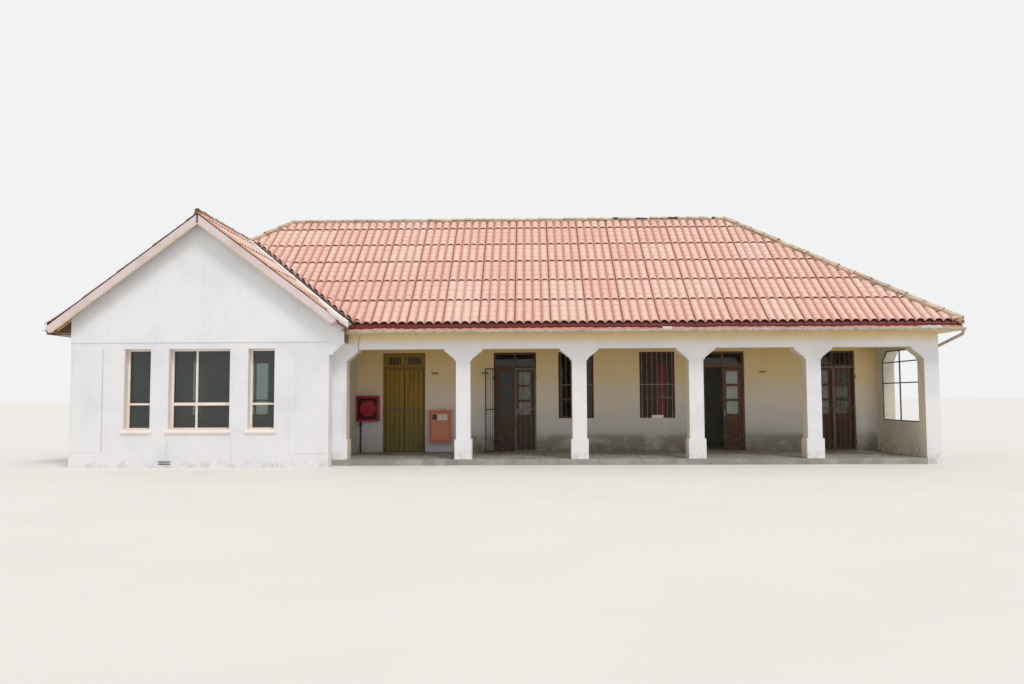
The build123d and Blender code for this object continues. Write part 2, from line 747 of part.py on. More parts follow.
def make_plain_windows():
    """The porch's windows and the repeated ones of the outer walls; gives back their glass."""
    z = (FLOOR_HEIGHT + PORCH_SILL, z_head)
    bar = PORCH_WINDOW_BAR
    y_porch_frame = y_back + PORCH_WINDOW_SETBACK
    y_rear_frame = y_rear - PORCH_WINDOW_SETBACK - WINDOW_DEPTH
    transom = [(FLOOR_HEIGHT + TRANSOM_CENTRE + MIDDLE_TRANSOM, bar)]

    def both(x, y):
        """The frame and the glass of one window parallel to the front."""
        middle = [(x[0] + x[1]) / 2]
        return frame_with_lights(x, z, y, bar, middle, transom), panes_between(x, z, y, bar, middle, transom)

    porch = [both(x, y_porch_frame) for x in spans(window_centres, PORCH_WINDOW)]
    rear = [both(x, y_rear_frame) for x in rear_window_spans()]
    half = PORCH_WINDOW / 2
    blank = both((-half, half), -WINDOW_DEPTH / 2)
    inset = PORCH_WINDOW_SETBACK + WINDOW_DEPTH / 2
    turned = []
    for x, openings in ((x_left + inset, left_window_spans()), (x_right - inset, right_window_spans())):
        for start, end in openings:
            place = Location((x, (start + end) / 2, 0), (0, 0, 90))
            turned.append([piece.moved(place) for piece in blank])

    for node, windows in (("porch_windows", porch), ("outer_windows", rear + turned)):
        with BuildPart() as frames:
            for window in windows:
                add(window[0])
        save(frames.part, node)
    return [window[1] for window in porch + rear + turned]


def make_side_frame():
    """The thin steel frame in the porch's side opening."""
    start, end = y_porch + PIER_DEPTH, y_back - SIDE_JAMB
    z_foot = FLOOR_HEIGHT + PARAPET_HEIGHT
    x = x_side + STEEL_SETBACK
    middle = (start + end) / 2
    with BuildPart() as frame:
        extrude(outline(facing_side(x), side_opening(start, end, z_foot, 0)), amount=STEEL_BAR)
        inner = outline(facing_side(x), side_opening(start, end, z_foot, STEEL_BAR))
        extrude(inner, amount=STEEL_BAR, mode=Mode.SUBTRACT)
        block((x, x + STEEL_BAR), (middle - STEEL_BAR / 2, middle + STEEL_BAR / 2), (z_foot, z_beam))
        for drop in STEEL_RAIL_DROPS:
            rail = (z_beam - drop - STEEL_BAR / 2, z_beam - drop + STEEL_BAR / 2)
            block((x, x + STEEL_BAR), (start, end), rail)
    save(frame.part, "side_opening_frame")


# Hinges: a pin on a lug fixed beside the opening, and an eye on the leaf that drops over it
def hinge_pin(x, y, z, side, face):
    """Pin, boss and lug about the axis at x, y.

    side is +1 where the leaf lies towards +X, and face is +1 where the hinge stands proud towards +Y.
    """
    low = z - HINGE_LENGTH / 2
    lug = sorted((x - side * LUG_REACH, x - side * STRAP_REST))
    deep = sorted((y - face * HINGE_OFFSET, y + face * PIN_RADIUS))
    block(lug, deep, (low - LUG_HEIGHT, low))
    post(x, y, (low - LUG_HEIGHT, low), BOSS_RADIUS)
    post(x, y, (low, low + HINGE_LENGTH), PIN_RADIUS)


def hinge_eye(x, y, z, side, face, recess):
    """Eye and strap of the leaf whose own face lies recess behind the face of its surround."""
    low = z - HINGE_LENGTH / 2 + PIN_FIT
    high = z + HINGE_LENGTH / 2
    post(x, y, (low, high), EYE_RADIUS)
    strap = sorted((x + side * STRAP_REST, x + side * STRAP_LENGTH))
    deep = sorted((y - face * (HINGE_OFFSET + recess), y - face * (PIN_RADIUS + PIN_FIT)))
    block(strap, deep, (low, high))
    post(x, y, (low, high), PIN_RADIUS + PIN_FIT, mode=Mode.SUBTRACT)


def hinge_heights(foot, top, inset):
    """The heights of a leaf's two hinges."""
    return (foot + inset, top - inset)


# Doors of the porch
y_frame = y_back + FRAME_SETBACK
y_hinge = y_frame + FRAME_DEPTH + HINGE_OFFSET
z_leaf_foot = FLOOR_HEIGHT + LEAF_FLOOR_GAP
leaf_heights = hinge_heights(z_leaf_foot, z_leaf, HINGE_INSET)


def leaf_edge(centre, side):
    """The X of the jamb face beside the leaf whose hinge is on the given side."""
    return centre + side * (DOORWAY_WIDTH / 2 - FRAME_BAR)


def make_door_frames():
    """The frames in the four doorways, with their hinge pins; gives back their transoms' glass."""
    deep = (y_frame, y_frame + FRAME_DEPTH)
    with BuildPart() as frames:
        for centre, x in zip(door_centres, spans(door_centres, DOORWAY_WIDTH)):
            block(x, deep, (FLOOR_HEIGHT, z_head))
            inner = (x[0] + FRAME_BAR, x[1] - FRAME_BAR)
            block(inner, deep, (FLOOR_HEIGHT, z_leaf + LEAF_GAP), mode=Mode.SUBTRACT)
            low = z_leaf + LEAF_GAP + TRANSOM_BAR
            for light in ((inner[0], centre - FRAME_BAR / 2), (centre + FRAME_BAR / 2, inner[1])):
                block(light, deep, (low, z_head - FRAME_BAR), mode=Mode.SUBTRACT)
            for side in (-1, 1):
                for height in leaf_heights:
                    hinge_pin(leaf_edge(centre, side) - side * LEAF_GAP / 2, y_hinge, height, -side, 1)
    save(frames.part, "door_frames")

    middle = y_frame + FRAME_DEPTH / 2
    with BuildPart() as glass:
        for centre, x in zip(door_centres, spans(door_centres, DOORWAY_WIDTH)):
            low = z_leaf + LEAF_GAP + TRANSOM_BAR
            inner = (x[0] + FRAME_BAR, x[1] - FRAME_BAR)
            for light in ((inner[0], centre - FRAME_BAR / 2), (centre + FRAME_BAR / 2, inner[1])):
                block(light, (middle - GLASS / 2, middle + GLASS / 2), (low, z_head - FRAME_BAR))
    return [glass.part]


def leaf_span(centre, side):
    """The X range of a leaf between its jamb and the middle of the doorway."""
    return sorted((leaf_edge(centre, side) - side * LEAF_GAP, centre + side * LEAF_GAP / 2))


def light_spans():
    """The heights of a glazed leaf's lights, from the lowest up."""
    low, high = FLOOR_HEIGHT + LIGHTS_FOOT, z_leaf - STILE
    height = (high - low - LIGHT_RAIL * (LIGHT_COUNT - 1)) / LIGHT_COUNT
    return [(low + n * (height + LIGHT_RAIL), low + n * (height + LIGHT_RAIL) + height) for n in range(LIGHT_COUNT)]


def make_leaf(centre, side, glazed):
    """One door leaf with its hinge eyes, closed; glazed leaves have open lights above a panel."""
    x = leaf_span(centre, side)
    y = (y_frame + FRAME_DEPTH - LEAF_THICKNESS, y_frame + FRAME_DEPTH)
    inner = (x[0] + STILE, x[1] - STILE)
    with BuildPart() as leaf:
        block(x, y, (z_leaf_foot, z_leaf))
        if glazed:
            fields = [(z_leaf_foot + STILE, FLOOR_HEIGHT + LIGHTS_FOOT - STILE)]
            for light in light_spans():
                block(inner, y, light, mode=Mode.SUBTRACT)
        else:
            middle = FLOOR_HEIGHT + PLANK_RAIL_HEIGHT
            fields = [(z_leaf_foot + STILE, middle - STILE / 2), (middle + STILE / 2, z_leaf - STILE)]
        for field in fields:
            block(inner, (y[0], y[0] + PANEL_RECESS), field, mode=Mode.SUBTRACT)
            block(inner, (y[1] - PANEL_RECESS, y[1]), field, mode=Mode.SUBTRACT)
        for height in leaf_heights:
            hinge_eye(leaf_edge(centre, side) - side * LEAF_GAP / 2, y_hinge, height, -side, 1, 0)
    return leaf.part


def make_leaf_glass(centre, side):
    """The panes of a glazed leaf."""
    x = leaf_span(centre, side)
    middle = y_frame + FRAME_DEPTH - LEAF_THICKNESS / 2
    with BuildPart() as glass:
        for light in light_spans():
            block((x[0] + STILE, x[1] - STILE), (middle - GLASS / 2, middle + GLASS / 2), light)
    return glass.part


def make_doors():
    """Two leaves in each doorway; the third doorway's left leaf stands open into the room."""
    for number, centre in enumerate(door_centres, start=1):
        for word, side in (("left", -1), ("right", 1)):
            node = f"door_{number}_{word}"
            turn = DOOR_3_LEFT_OPEN if node == "door_3_left" else 0
            axis = Axis((leaf_edge(centre, side) - side * LEAF_GAP / 2, y_hinge, 0), (0, 0, 1))
            save(make_leaf(centre, side, number > 1).rotate(axis, turn), node)
            if number > 1:
                save(make_leaf_glass(centre, side).rotate(axis, turn), node + "_glass")


# Iron gates on the wall's face in front of the doors
y_gate_hinge = y_back - HINGE_OFFSET
z_gate = (z_leaf_foot, z_leaf)
gate_heights = hinge_heights(*z_gate, HINGE_INSET)


def gate_edge(centre, side):
    """The X of the doorway's own edge beside a gate leaf."""
    return centre + side * DOORWAY_WIDTH / 2


def make_gate_leaf(centre, side):
    """A gate leaf, closed: a flat-bar frame with upright rods and a middle rail."""
    x = sorted((gate_edge(centre, side) - side * LEAF_GAP, centre + side * LEAF_GAP / 2))
    y = (y_back + GATE_RECESS, y_back + GATE_RECESS + GATE_DEPTH)
    bar = GATE_DEPTH
    y_rod = (y[0] + y[1]) / 2
    rail = FLOOR_HEIGHT + GATE_RAIL_HEIGHT
    with BuildPart() as leaf:
        block(x, y, z_gate)
        block((x[0] + bar, x[1] - bar), y, (z_gate[0] + bar, z_gate[1] - bar), mode=Mode.SUBTRACT)
        block((x[0] + bar, x[1] - bar), y, (rail, rail + bar))
        gap = (x[1] - x[0] - bar) / (GATE_BAR_COUNT + 1)
        for number in range(1, GATE_BAR_COUNT + 1):
            post(x[0] + bar / 2 + gap * number, y_rod, z_gate, GATE_BAR_RADIUS)
        for height in gate_heights:
            hinge_eye(gate_edge(centre, side) - side * LEAF_GAP / 2, y_gate_hinge, height, -side, -1, GATE_RECESS)
    return leaf.part


def make_gates():
    """Gates at the second and fourth doors; the second door's left leaf stands swung out."""
    with BuildPart() as pins:
        for centre in (door for door, gated in zip(door_centres, HAS_GATE) if gated):
            for side in (-1, 1):
                for height in gate_heights:
                    hinge_pin(gate_edge(centre, side) - side * LEAF_GAP / 2, y_gate_hinge, height, -side, -1)
    save(pins.part, "gate_hinges")

    for number, (centre, gated) in enumerate(zip(door_centres, HAS_GATE), start=1):
        for word, side in (("left", -1), ("right", 1)) if gated else ():
            node = f"gate_{number}_{word}"
            turn = -GATE_2_LEFT_OPEN if node == "gate_2_left" else 0
            axis = Axis((gate_edge(centre, side) - side * LEAF_GAP / 2, y_gate_hinge, 0), (0, 0, 1))
            save(make_gate_leaf(centre, side).rotate(axis, turn), node)


# Cabinets and small fittings
def open_box(x, y, z, rim):
    """A box closed at the back and sides, with a rim round its open front."""
    with BuildPart() as box:
        block(x, y, z)
        block((x[0] + CABINET_SHEET, x[1] - CABINET_SHEET), (y[0] + CABINET_SHEET, y[1] - CABINET_SHEET),
              (z[0] + CABINET_SHEET, z[1] - CABINET_SHEET), mode=Mode.SUBTRACT)
        block((x[0] + rim, x[1] - rim), (y[0], y[0] + CABINET_SHEET), (z[0] + rim, z[1] - rim), mode=Mode.SUBTRACT)
    return box.part


def make_fire_cabinet():
    """The hose cabinet in the porch's left corner, its reel and the riser under it."""
    x = (x_wing, x_wing + FIRE_WIDTH)
    y = (y_back - CABINET_DEPTH, y_back)
    z = (FLOOR_HEIGHT + FIRE_BOTTOM, FLOOR_HEIGHT + FIRE_BOTTOM + FIRE_HEIGHT)
    save(open_box(x, y, z, FIRE_RIM), "fire_cabinet")

    centre = ((x[0] + x[1]) / 2, (z[0] + z[1]) / 2)
    y_wall = y[1] - CABINET_SHEET
    with BuildPart() as reel:
        with BuildSketch(facing_front(y_wall)):
            with Locations(centre):
                Circle(REEL_RADIUS)
        extrude(amount=REEL_DEPTH)
        flange = (REEL_RADIUS * 0.75, CABINET_SHEET)
        with BuildSketch(facing_front(y_wall - flange[1])) as groove:
            with Locations(centre):
                Circle(REEL_RADIUS)
                Circle(flange[0], mode=Mode.SUBTRACT)
        extrude(groove.sketch, amount=REEL_DEPTH - 2 * flange[1], mode=Mode.SUBTRACT)
    save(reel.part, "hose_reel")

    with BuildPart() as riser:
        post(x[0] + RISER_OFFSET, (y[0] + y[1]) / 2, (FLOOR_HEIGHT, z[0]), RISER_RADIUS)
    save(riser.part, "fire_riser")


def make_locker():
    """The terracotta wall cabinet and its hinged door."""
    x = (locker_centre - LOCKER_WIDTH / 2, locker_centre + LOCKER_WIDTH / 2)
    y = (y_back - CABINET_DEPTH, y_back)
    z = (FLOOR_HEIGHT + LOCKER_BOTTOM, FLOOR_HEIGHT + LOCKER_BOTTOM + LOCKER_HEIGHT)
    x_axis = x[0] + LOCKER_RIM + LEAF_GAP / 2
    y_axis = y[0] - HINGE_OFFSET
    door_z = (z[0] + LOCKER_RIM + LEAF_GAP, z[1] - LOCKER_RIM - LEAF_GAP)
    heights = hinge_heights(*door_z, LOCKER_HINGE_INSET)
    with BuildPart() as body:
        add(open_box(x, y, z, LOCKER_RIM))
        for height in heights:
            hinge_pin(x_axis, y_axis, height, 1, -1)
    save(body.part, "wall_cabinet")

    with BuildPart() as door:
        block((x[0] + LOCKER_RIM + LEAF_GAP, x[1] - LOCKER_RIM - LEAF_GAP), (y[0], y[0] + CABINET_SHEET), door_z)
        for height in heights:
            hinge_eye(x_axis, y_axis, height, 1, -1, 0)
    save(door.part, "wall_cabinet_door")


def make_fittings():
    """Three small bulkhead fittings above the back wall's doorways."""
    z = FLOOR_HEIGHT + FITTING_BASE
    with BuildPart() as fittings:
        for x in spans(fitting_centres, FITTING_WIDTH):
            block(x, (y_back - FITTING_DEPTH, y_back), (z, z + FITTING_HEIGHT))
    save(fittings.part, "wall_fittings")


def make_glass(panes):
    """The panes of every fixed window and of the transom lights over the doors."""
    with BuildPart() as glass:
        for pane in panes:
            add(pane)
    save(glass.part, "window_glass")


make_floors()
make_outer_walls()
make_back_wall()
make_arcade()
make_roof()
make_caps()
make_eave_trim()
make_gable()
make_rainwater()
make_side_frame()
make_glass(make_wing_windows() + make_plain_windows() + make_door_frames())
make_doors()
make_gates()
make_fire_cabinet()
make_locker()
make_fittings()
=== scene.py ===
"""Looks of a single-storey railway station building.

It has a gabled wing, a hipped roof of terracotta sheets and an arcaded porch.
All lengths are metres in the part's own frame: X along the front from left to right, Y from the porch to the
back, Z up.
"""

from __future__ import annotations

import logging
import math
from dataclasses import dataclass, field
from enum import Enum
from typing import Sequence

import bmesh
import bpy
import numpy as np
from mathutils import Matrix, Vector

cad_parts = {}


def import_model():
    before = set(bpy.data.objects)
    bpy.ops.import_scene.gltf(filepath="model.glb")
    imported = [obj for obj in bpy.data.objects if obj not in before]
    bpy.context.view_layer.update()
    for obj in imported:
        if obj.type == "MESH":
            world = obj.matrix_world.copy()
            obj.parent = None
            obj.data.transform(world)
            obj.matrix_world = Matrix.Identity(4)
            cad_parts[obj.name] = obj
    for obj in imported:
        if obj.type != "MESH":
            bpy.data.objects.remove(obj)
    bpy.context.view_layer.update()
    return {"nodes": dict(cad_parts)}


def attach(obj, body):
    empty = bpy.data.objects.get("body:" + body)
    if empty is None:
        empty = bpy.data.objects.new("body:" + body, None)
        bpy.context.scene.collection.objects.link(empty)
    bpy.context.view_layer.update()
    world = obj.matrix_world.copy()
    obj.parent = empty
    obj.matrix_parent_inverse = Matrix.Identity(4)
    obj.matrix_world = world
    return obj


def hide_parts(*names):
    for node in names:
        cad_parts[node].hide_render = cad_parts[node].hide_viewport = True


LOG = logging.getLogger("station")
BUILDING = "building"

FLOOR = 0.15
FRONT_WALL = -4.45
PORCH_FRONT = -3.95
EAVE_HEIGHT = 3.51
PITCH = 0.75
WING_RIDGE = -7.535
RIDGE_Y = 0.25
DOOR_CENTRES = (-2.988, 0.178, 6.080, 9.187)
RIPPLES = 4
WAVE = 0.2219
FIRST_CREST = 2.12
GABLE_FACE = -4.4502
VERGE_BACK = -4.7505
VERGE_TOP = 6.206
LEAF_PIN_Y = -0.803
GATE_PIN_Y = -0.967
CABINET_FACE = -1.1502


# Shapes: points and faces as whole arrays


@dataclass
class Shape:
    """A mesh before it goes into Blender: points, and blocks of faces with the same number of corners."""

    points: np.ndarray
    faces: list[np.ndarray]

    def moved(self, matrix: Matrix) -> Shape:
        """The shape with every point multiplied by a matrix: p' = R p + t."""
        m = np.array(matrix)
        return Shape(self.points @ m[:3, :3].T + m[:3, 3], self.faces)


def joined(shapes: Sequence[Shape]) -> Shape:
    """One shape of several; each shape's corner numbers go up by the points before it.

    Args:
        shapes: the shapes, in any order.

    Returns:
        The joined shape.
    """
    starts = np.cumsum([0] + [len(s.points) for s in shapes[:-1]])
    faces = [block + start for s, start in zip(shapes, starts) for block in s.faces]
    return Shape(np.concatenate([s.points for s in shapes]), faces)


CORNERS = np.array([[x, y, z] for z in (0, 1) for y in (0, 1) for x in (0, 1)], float)
CORNER_FACES = np.array([[0, 2, 3, 1], [4, 5, 7, 6], [0, 1, 5, 4], [2, 6, 7, 3], [0, 4, 6, 2], [1, 3, 7, 5]])


def bars(boxes: Sequence[Sequence[float]]) -> Shape:
    """Square-edged bars: every corner is low + corner * (high - low), with corner in {0, 1} on each axis.

    Args:
        boxes: rows of x low, x high, y low, y high, z low, z high.

    Returns:
        All the bars as one shape.
    """
    rows = np.asarray(boxes, float)
    low, high = rows[:, 0::2], rows[:, 1::2]
    points = low[:, None, :] + CORNERS[None] * (high - low)[:, None, :]
    faces = CORNER_FACES[None] + 8 * np.arange(len(rows))[:, None, None]
    return Shape(points.reshape(-1, 3), [faces.reshape(-1, 4)])


def frame_rows(x: Sequence[float], y: Sequence[float], z: Sequence[float], bar: float,
               rail: float | None = None) -> list[tuple[float, ...]]:
    """Four bars round an opening: two uprights over its whole height, and two rails between them.

    Args:
        x: left and right ends.
        y: front and back.
        z: foot and head.
        bar: width of the uprights.
        rail: height of the rails, if it isn't the same.

    Returns:
        Rows for bars().
    """
    (x0, x1), (z0, z1) = x, z
    a, b, rail = x0 + bar, x1 - bar, rail or bar
    return [(x0, a, *y, z0, z1), (b, x1, *y, z0, z1), (a, b, *y, z0, z0 + rail), (a, b, *y, z1 - rail, z1)]


def sheet(x: object, y: object, z: object, wrap: bool = False) -> Shape:
    """A surface over rows and columns: X, Y and Z are each a number, a row, a column or a whole grid."""
    return closed_grid(np.stack(np.broadcast_arrays(x, y, z), axis=2), wrap)


def rods(starts: Sequence[Sequence[float]], ends: Sequence[Sequence[float]], radius: float,
         sides: int = 10) -> Shape:
    """Round rods: each ring is centre + radius * (cos a * side + sin a * up), square to the rod.

    Args:
        starts: the first end of each rod.
        ends: the other end of each rod.
        radius: of the rods.
        sides: corners of a ring.

    Returns:
        All the rods as one closed shape.
    """
    a, b = np.asarray(starts, float), np.asarray(ends, float)
    along = (b - a) / np.linalg.norm(b - a, axis=1)[:, None]
    helper = np.where(np.abs(along[:, 2:3]) > 0.9, [[1.0, 0, 0]], [[0, 0, 1.0]])
    side = np.cross(along, helper)
    side /= np.linalg.norm(side, axis=1)[:, None]
    up = np.cross(along, side)
    angle = np.arange(sides) * 2 * np.pi / sides
    turn = angle[None, :, None]
    ring = radius * (np.cos(turn) * side[:, None] + np.sin(turn) * up[:, None])
    points = np.stack([a[:, None] + ring, b[:, None] + ring], axis=1).reshape(-1, 3)
    k = np.arange(sides)
    nxt = (k + 1) % sides
    wall = np.stack([k, nxt, nxt + sides, k + sides], axis=1)
    base = 2 * sides * np.arange(len(a))
    walls = (wall[None] + base[:, None, None]).reshape(-1, 4)
    low = k[::-1][None] + base[:, None]
    high = (k + sides)[None] + base[:, None]
    return Shape(points, [walls, low, high])


def revolved(profile: Sequence[Sequence[float]], centre: Sequence[float], segments: int = 32) -> Shape:
    """A form turned about an axis along -Y: centre + (r cos a, -d, r sin a) for each (r, d) of the profile.

    Args:
        profile: rows of radius and distance towards -Y; it starts and ends on the axis.
        centre: the axis's point at distance nought.
        segments: steps of the full turn.

    Returns:
        The closed form; its poles are merged when the mesh is made.
    """
    rows = np.asarray(profile, float)
    angle = np.arange(segments) * 2 * np.pi / segments
    r, d = rows[:, 0:1], rows[:, 1:2]
    x, y, z = centre
    return sheet(x + r * np.cos(angle), y - d, z + r * np.sin(angle), wrap=True)


def closed_grid(grid: np.ndarray, wrap: bool = False) -> Shape:
    """Quads between the rows and columns of a grid of points; wrap joins the last column to the first."""
    rows, columns = grid.shape[:2]
    index = np.arange(rows * columns).reshape(rows, columns)
    if wrap:
        index = np.concatenate([index, index[:, :1]], axis=1)
    quads = np.stack([index[:-1, :-1], index[:-1, 1:], index[1:, 1:], index[1:, :-1]], axis=2)
    return Shape(grid.reshape(-1, 3), [quads.reshape(-1, 4)])


def prism(outline: Sequence[Sequence[float]], near: float, far: float, axis: int = 1) -> Shape:
    """An outline carried along X or Y from near to far, closed at both ends.

    Args:
        outline: its corners in turn: X and Z, counter-clockwise as seen from -Y, or Y and Z, as seen from
        +X. near: place of the near end along the axis.
        far: place of the far end.
        axis: 0 to carry it along X, 1 along Y.

    Returns:
        The closed prism.
    """
    flat = np.asarray(outline, float)
    count = len(flat)
    k = np.arange(count)
    nxt = (k + 1) % count
    ends = [np.insert(flat, axis, place, axis=1) for place in (near, far)]
    if axis:
        faces = [np.stack([k, k + count, nxt + count, nxt], axis=1), k[None], (k + count)[::-1][None]]
    else:
        faces = [np.stack([k, nxt, nxt + count, k + count], axis=1), k[::-1][None], (k + count)[None]]
    return Shape(np.concatenate(ends), faces)


def swung(shape: Shape, pin: tuple[float, float], degrees: float) -> Shape:
    """A shape turned about an upright pin at X and Y."""
    place = Matrix.Translation((pin[0], pin[1], 0))
    return shape.moved(place @ Matrix.Rotation(math.radians(degrees), 4, "Z") @ place.inverted())


# Finishes

Colour = tuple[float, float, float]
Link = bpy.types.NodeSocket


def shade(colour: Colour) -> tuple[float, float, float, float]:
    """A 0-255 screen colour as linear light: ((c + 0.055) / 1.055) ** 2.4 above 0.04045, c / 12.92 below."""
    c = np.asarray(colour, float) / 255
    linear = np.where(c > 0.04045, ((c + 0.055) / 1.055) ** 2.4, c / 12.92)
    return (*linear.tolist(), 1.0)


class Shader:
    """One node material. Each method adds a node and gives back the socket that it ends in."""

    def __init__(self, name: str, roughness: float, metallic: float = 0.0, specular: float = 0.35) -> None:
        """Starts a material whose plain numbers sit on the surface shader's own sockets."""
        self.material = bpy.data.materials.new(name)
        self.material.use_nodes = True
        self.tree = self.material.node_tree
        self.surface = self.tree.nodes["Principled BSDF"]
        self.surface.inputs["Roughness"].default_value = roughness
        self.surface.inputs["Metallic"].default_value = metallic
        self.surface.inputs["Specular IOR Level"].default_value = specular
        self.place = self.add("ShaderNodeTexCoord").outputs["Object"]

    def add(self, kind: str, **settings: object) -> bpy.types.Node:
        """A node of that kind with its settings."""
        node = self.tree.nodes.new(kind)
        for key, value in settings.items():
            setattr(node, key, value)
        return node

    def feed(self, socket: Link, value: object) -> None:
        """Links a socket to another, or gives it a number, colour or vector."""
        if isinstance(value, bpy.types.NodeSocket):
            self.tree.links.new(value, socket)
        else:
            socket.default_value = value

    def axes(self, vector: Link | None = None) -> tuple[Link, Link, Link]:
        """The three coordinates of a vector, by default of the place on the object."""
        node = self.add("ShaderNodeSeparateXYZ")
        self.feed(node.inputs[0], vector or self.place)
        return node.outputs[0], node.outputs[1], node.outputs[2]

    def vector(self, x: object, y: object, z: object) -> Link:
        """A vector of three numbers or sockets."""
        node = self.add("ShaderNodeCombineXYZ")
        for socket, value in zip(node.inputs, (x, y, z)):
            self.feed(socket, value)
        return node.outputs[0]

    def map(self) -> Link:
        """The piece's own UV map."""
        return self.add("ShaderNodeUVMap", uv_map="run").outputs[0]

    def math(self, operation: str, *values: object) -> Link:
        """A math node over numbers or sockets."""
        node = self.add("ShaderNodeMath", operation=operation)
        for socket, value in zip(node.inputs, values):
            self.feed(socket, value)
        return node.outputs[0]

    def times(self, first: object, second: object) -> Link:
        """The product of two numbers or sockets."""
        return self.math("MULTIPLY", first, second)

    def fade(self, value: Link, start: float, end: float) -> Link:
        """Rises smoothly from 0 at start to 1 at end, whichever is larger."""
        node = self.add("ShaderNodeMapRange", interpolation_type="SMOOTHSTEP")
        low, high = min(start, end), max(start, end)
        self.feed(node.inputs["Value"], value)
        node.inputs["From Min"].default_value = low
        node.inputs["From Max"].default_value = high
        node.inputs["To Min"].default_value = 0.0 if start < end else 1.0
        node.inputs["To Max"].default_value = 1.0 if start < end else 0.0
        return node.outputs["Result"]

    def scaled(self, stretch: Sequence[float]) -> Link:
        """The place stretched along the axes."""
        node = self.add("ShaderNodeMapping")
        self.feed(node.inputs["Vector"], self.place)
        node.inputs["Scale"].default_value = tuple(stretch)
        return node.outputs["Vector"]

    def noise(self, scale: float, detail: float = 3.0, stretch: Sequence[float] | None = None) -> Link:
        """Cloudy noise about 0.5, finer for a larger scale."""
        node = self.add("ShaderNodeTexNoise")
        self.feed(node.inputs["Vector"], self.scaled(stretch) if stretch else self.place)
        node.inputs["Scale"].default_value = scale
        node.inputs["Detail"].default_value = detail
        node.inputs["Roughness"].default_value = 0.6
        return node.outputs["Fac"]

    def chance(self, vector: Link) -> Link:
        """One random number for each value of the vector."""
        node = self.add("ShaderNodeTexWhiteNoise", noise_dimensions="3D")
        self.feed(node.inputs["Vector"], vector)
        return node.outputs["Value"]

    def coat(self, base: Link, colour: Sequence[float], *masks: object) -> Link:
        """The base under another colour, laid on as strongly as the product of the masks."""
        amount = masks[0]
        for mask in masks[1:]:
            amount = self.times(amount, mask)
        return self.mix(amount, base, shade(colour))

    def mix(self, amount: object, first: object, second: object) -> Link:
        """Colour first where amount is 0 and second where it is 1."""
        node = self.add("ShaderNodeMix", data_type="RGBA")
        self.feed(node.inputs["Factor"], amount)
        self.feed(node.inputs[6], first)
        self.feed(node.inputs[7], second)
        return node.outputs[2]

    def ramp(self, value: Link, stops: Sequence[tuple[float, Colour]], stepped: bool = False) -> Link:
        """A colour ramp over 0 to 1; stepped keeps each colour up to the next stop."""
        node = self.add("ShaderNodeValToRGB")
        ramp = node.color_ramp
        ramp.interpolation = "CONSTANT" if stepped else "EASE"
        while len(ramp.elements) < len(stops):
            ramp.elements.new(0.5)
        for element, (at, colour) in zip(ramp.elements, stops):
            element.position = at
        for element, (at, colour) in zip(ramp.elements, stops):
            element.color = shade(colour)
        self.feed(node.inputs["Fac"], value)
        return node.outputs["Color"]

    def paint(self, colour: object) -> None:
        """Links the colour to the surface."""
        self.feed(self.surface.inputs["Base Color"], colour)

    def relief(self, height: Link, depth: float) -> None:
        """Bump of that depth in metres, laid over any bump before it."""
        node = self.add("ShaderNodeBump")
        node.inputs["Distance"].default_value = depth
        self.feed(node.inputs["Height"], height)
        before = self.surface.inputs["Normal"].links
        if before:
            self.feed(node.inputs["Normal"], before[0].from_socket)
        self.feed(self.surface.inputs["Normal"], node.outputs["Normal"])


@dataclass(frozen=True)
class Finish:
    """A finish for one kind of surface."""

    name: str

    def material(self) -> bpy.types.Material:
        """The node material."""
        raise NotImplementedError


@dataclass(frozen=True)
class LimeWash(Finish):
    """Brushed white wash on render: faint grey clouds, thin runs and splashed earth at the wall's foot."""

    colour: Colour = (233, 232, 235)
    cloud: Colour = (221, 221, 226)
    run: Colour = (214, 210, 205)
    splash: Colour = (178, 160, 140)
    splash_height: float = 0.26
    dirt: float = 0.5
    top: Colour | None = None
    top_from: float = 3.0
    reveal: Colour | None = None
    shaded_side: tuple[float, float] | None = None
    behind: Colour | None = None

    def material(self) -> bpy.types.Material:
        """Clouds and runs are noise; the splash fades upwards; reveals lie behind the front face."""
        s = Shader(self.name, 0.85, specular=0.2)
        x, y, z = s.axes()
        clouds = s.fade(s.noise(0.9, 4), 0.42, 0.72)
        base = s.mix(clouds, shade(self.colour), shade(self.cloud))
        if self.behind:
            inner = s.mix(clouds, shade(self.behind), shade(tuple(c * 0.94 for c in self.behind)))
            back = s.times(s.fade(y, PORCH_FRONT + 0.004, PORCH_FRONT + 0.012), s.fade(x, 10.738, 10.734))
            base = s.mix(back, base, inner)
        runs = s.fade(s.noise(1.0, 4, (5.5, 5.5, 0.35)), 0.56, 0.78)
        base = s.coat(base, self.run, runs, 0.45)
        if self.top:
            height = s.math("ADD", z, s.times(s.noise(1.5), 0.12))
            base = s.coat(base, self.top, s.fade(height, self.top_from, self.top_from + 0.32))
        patches = s.fade(s.noise(5.0, 5), 0.44, 0.64)
        low = s.times(s.fade(z, self.splash_height, 0.02), patches)
        base = s.coat(base, self.splash, low, self.dirt)
        specks = s.times(s.fade(s.noise(26.0, 2), 0.71, 0.77), s.fade(z, 1.4, 0.1))
        base = s.coat(base, (130, 120, 108), specks, 0.8)
        if self.reveal:
            inside = s.times(s.fade(y, FRONT_WALL + 0.004, FRONT_WALL + 0.012), s.fade(y, -4.165, -4.172))
            inside = s.times(inside, s.times(s.fade(x, -5.5, -5.6), s.fade(x, -10.2, -10.1)))
            base = s.coat(base, self.reveal, inside)
        # Painted shade: the right side face above the given height is darkened for the shade beside the
        # gable.
        if self.shaded_side:
            side, foot = self.shaded_side
            darkening = s.times(s.fade(x, side - 0.004, side), s.fade(z, foot - 0.06, foot + 0.06))
            base = s.coat(base, (124, 114, 102), darkening)
        s.paint(base)
        s.relief(s.noise(70.0, 3), 0.0016)
        s.relief(s.noise(7.0, 4), 0.004)
        return s.material


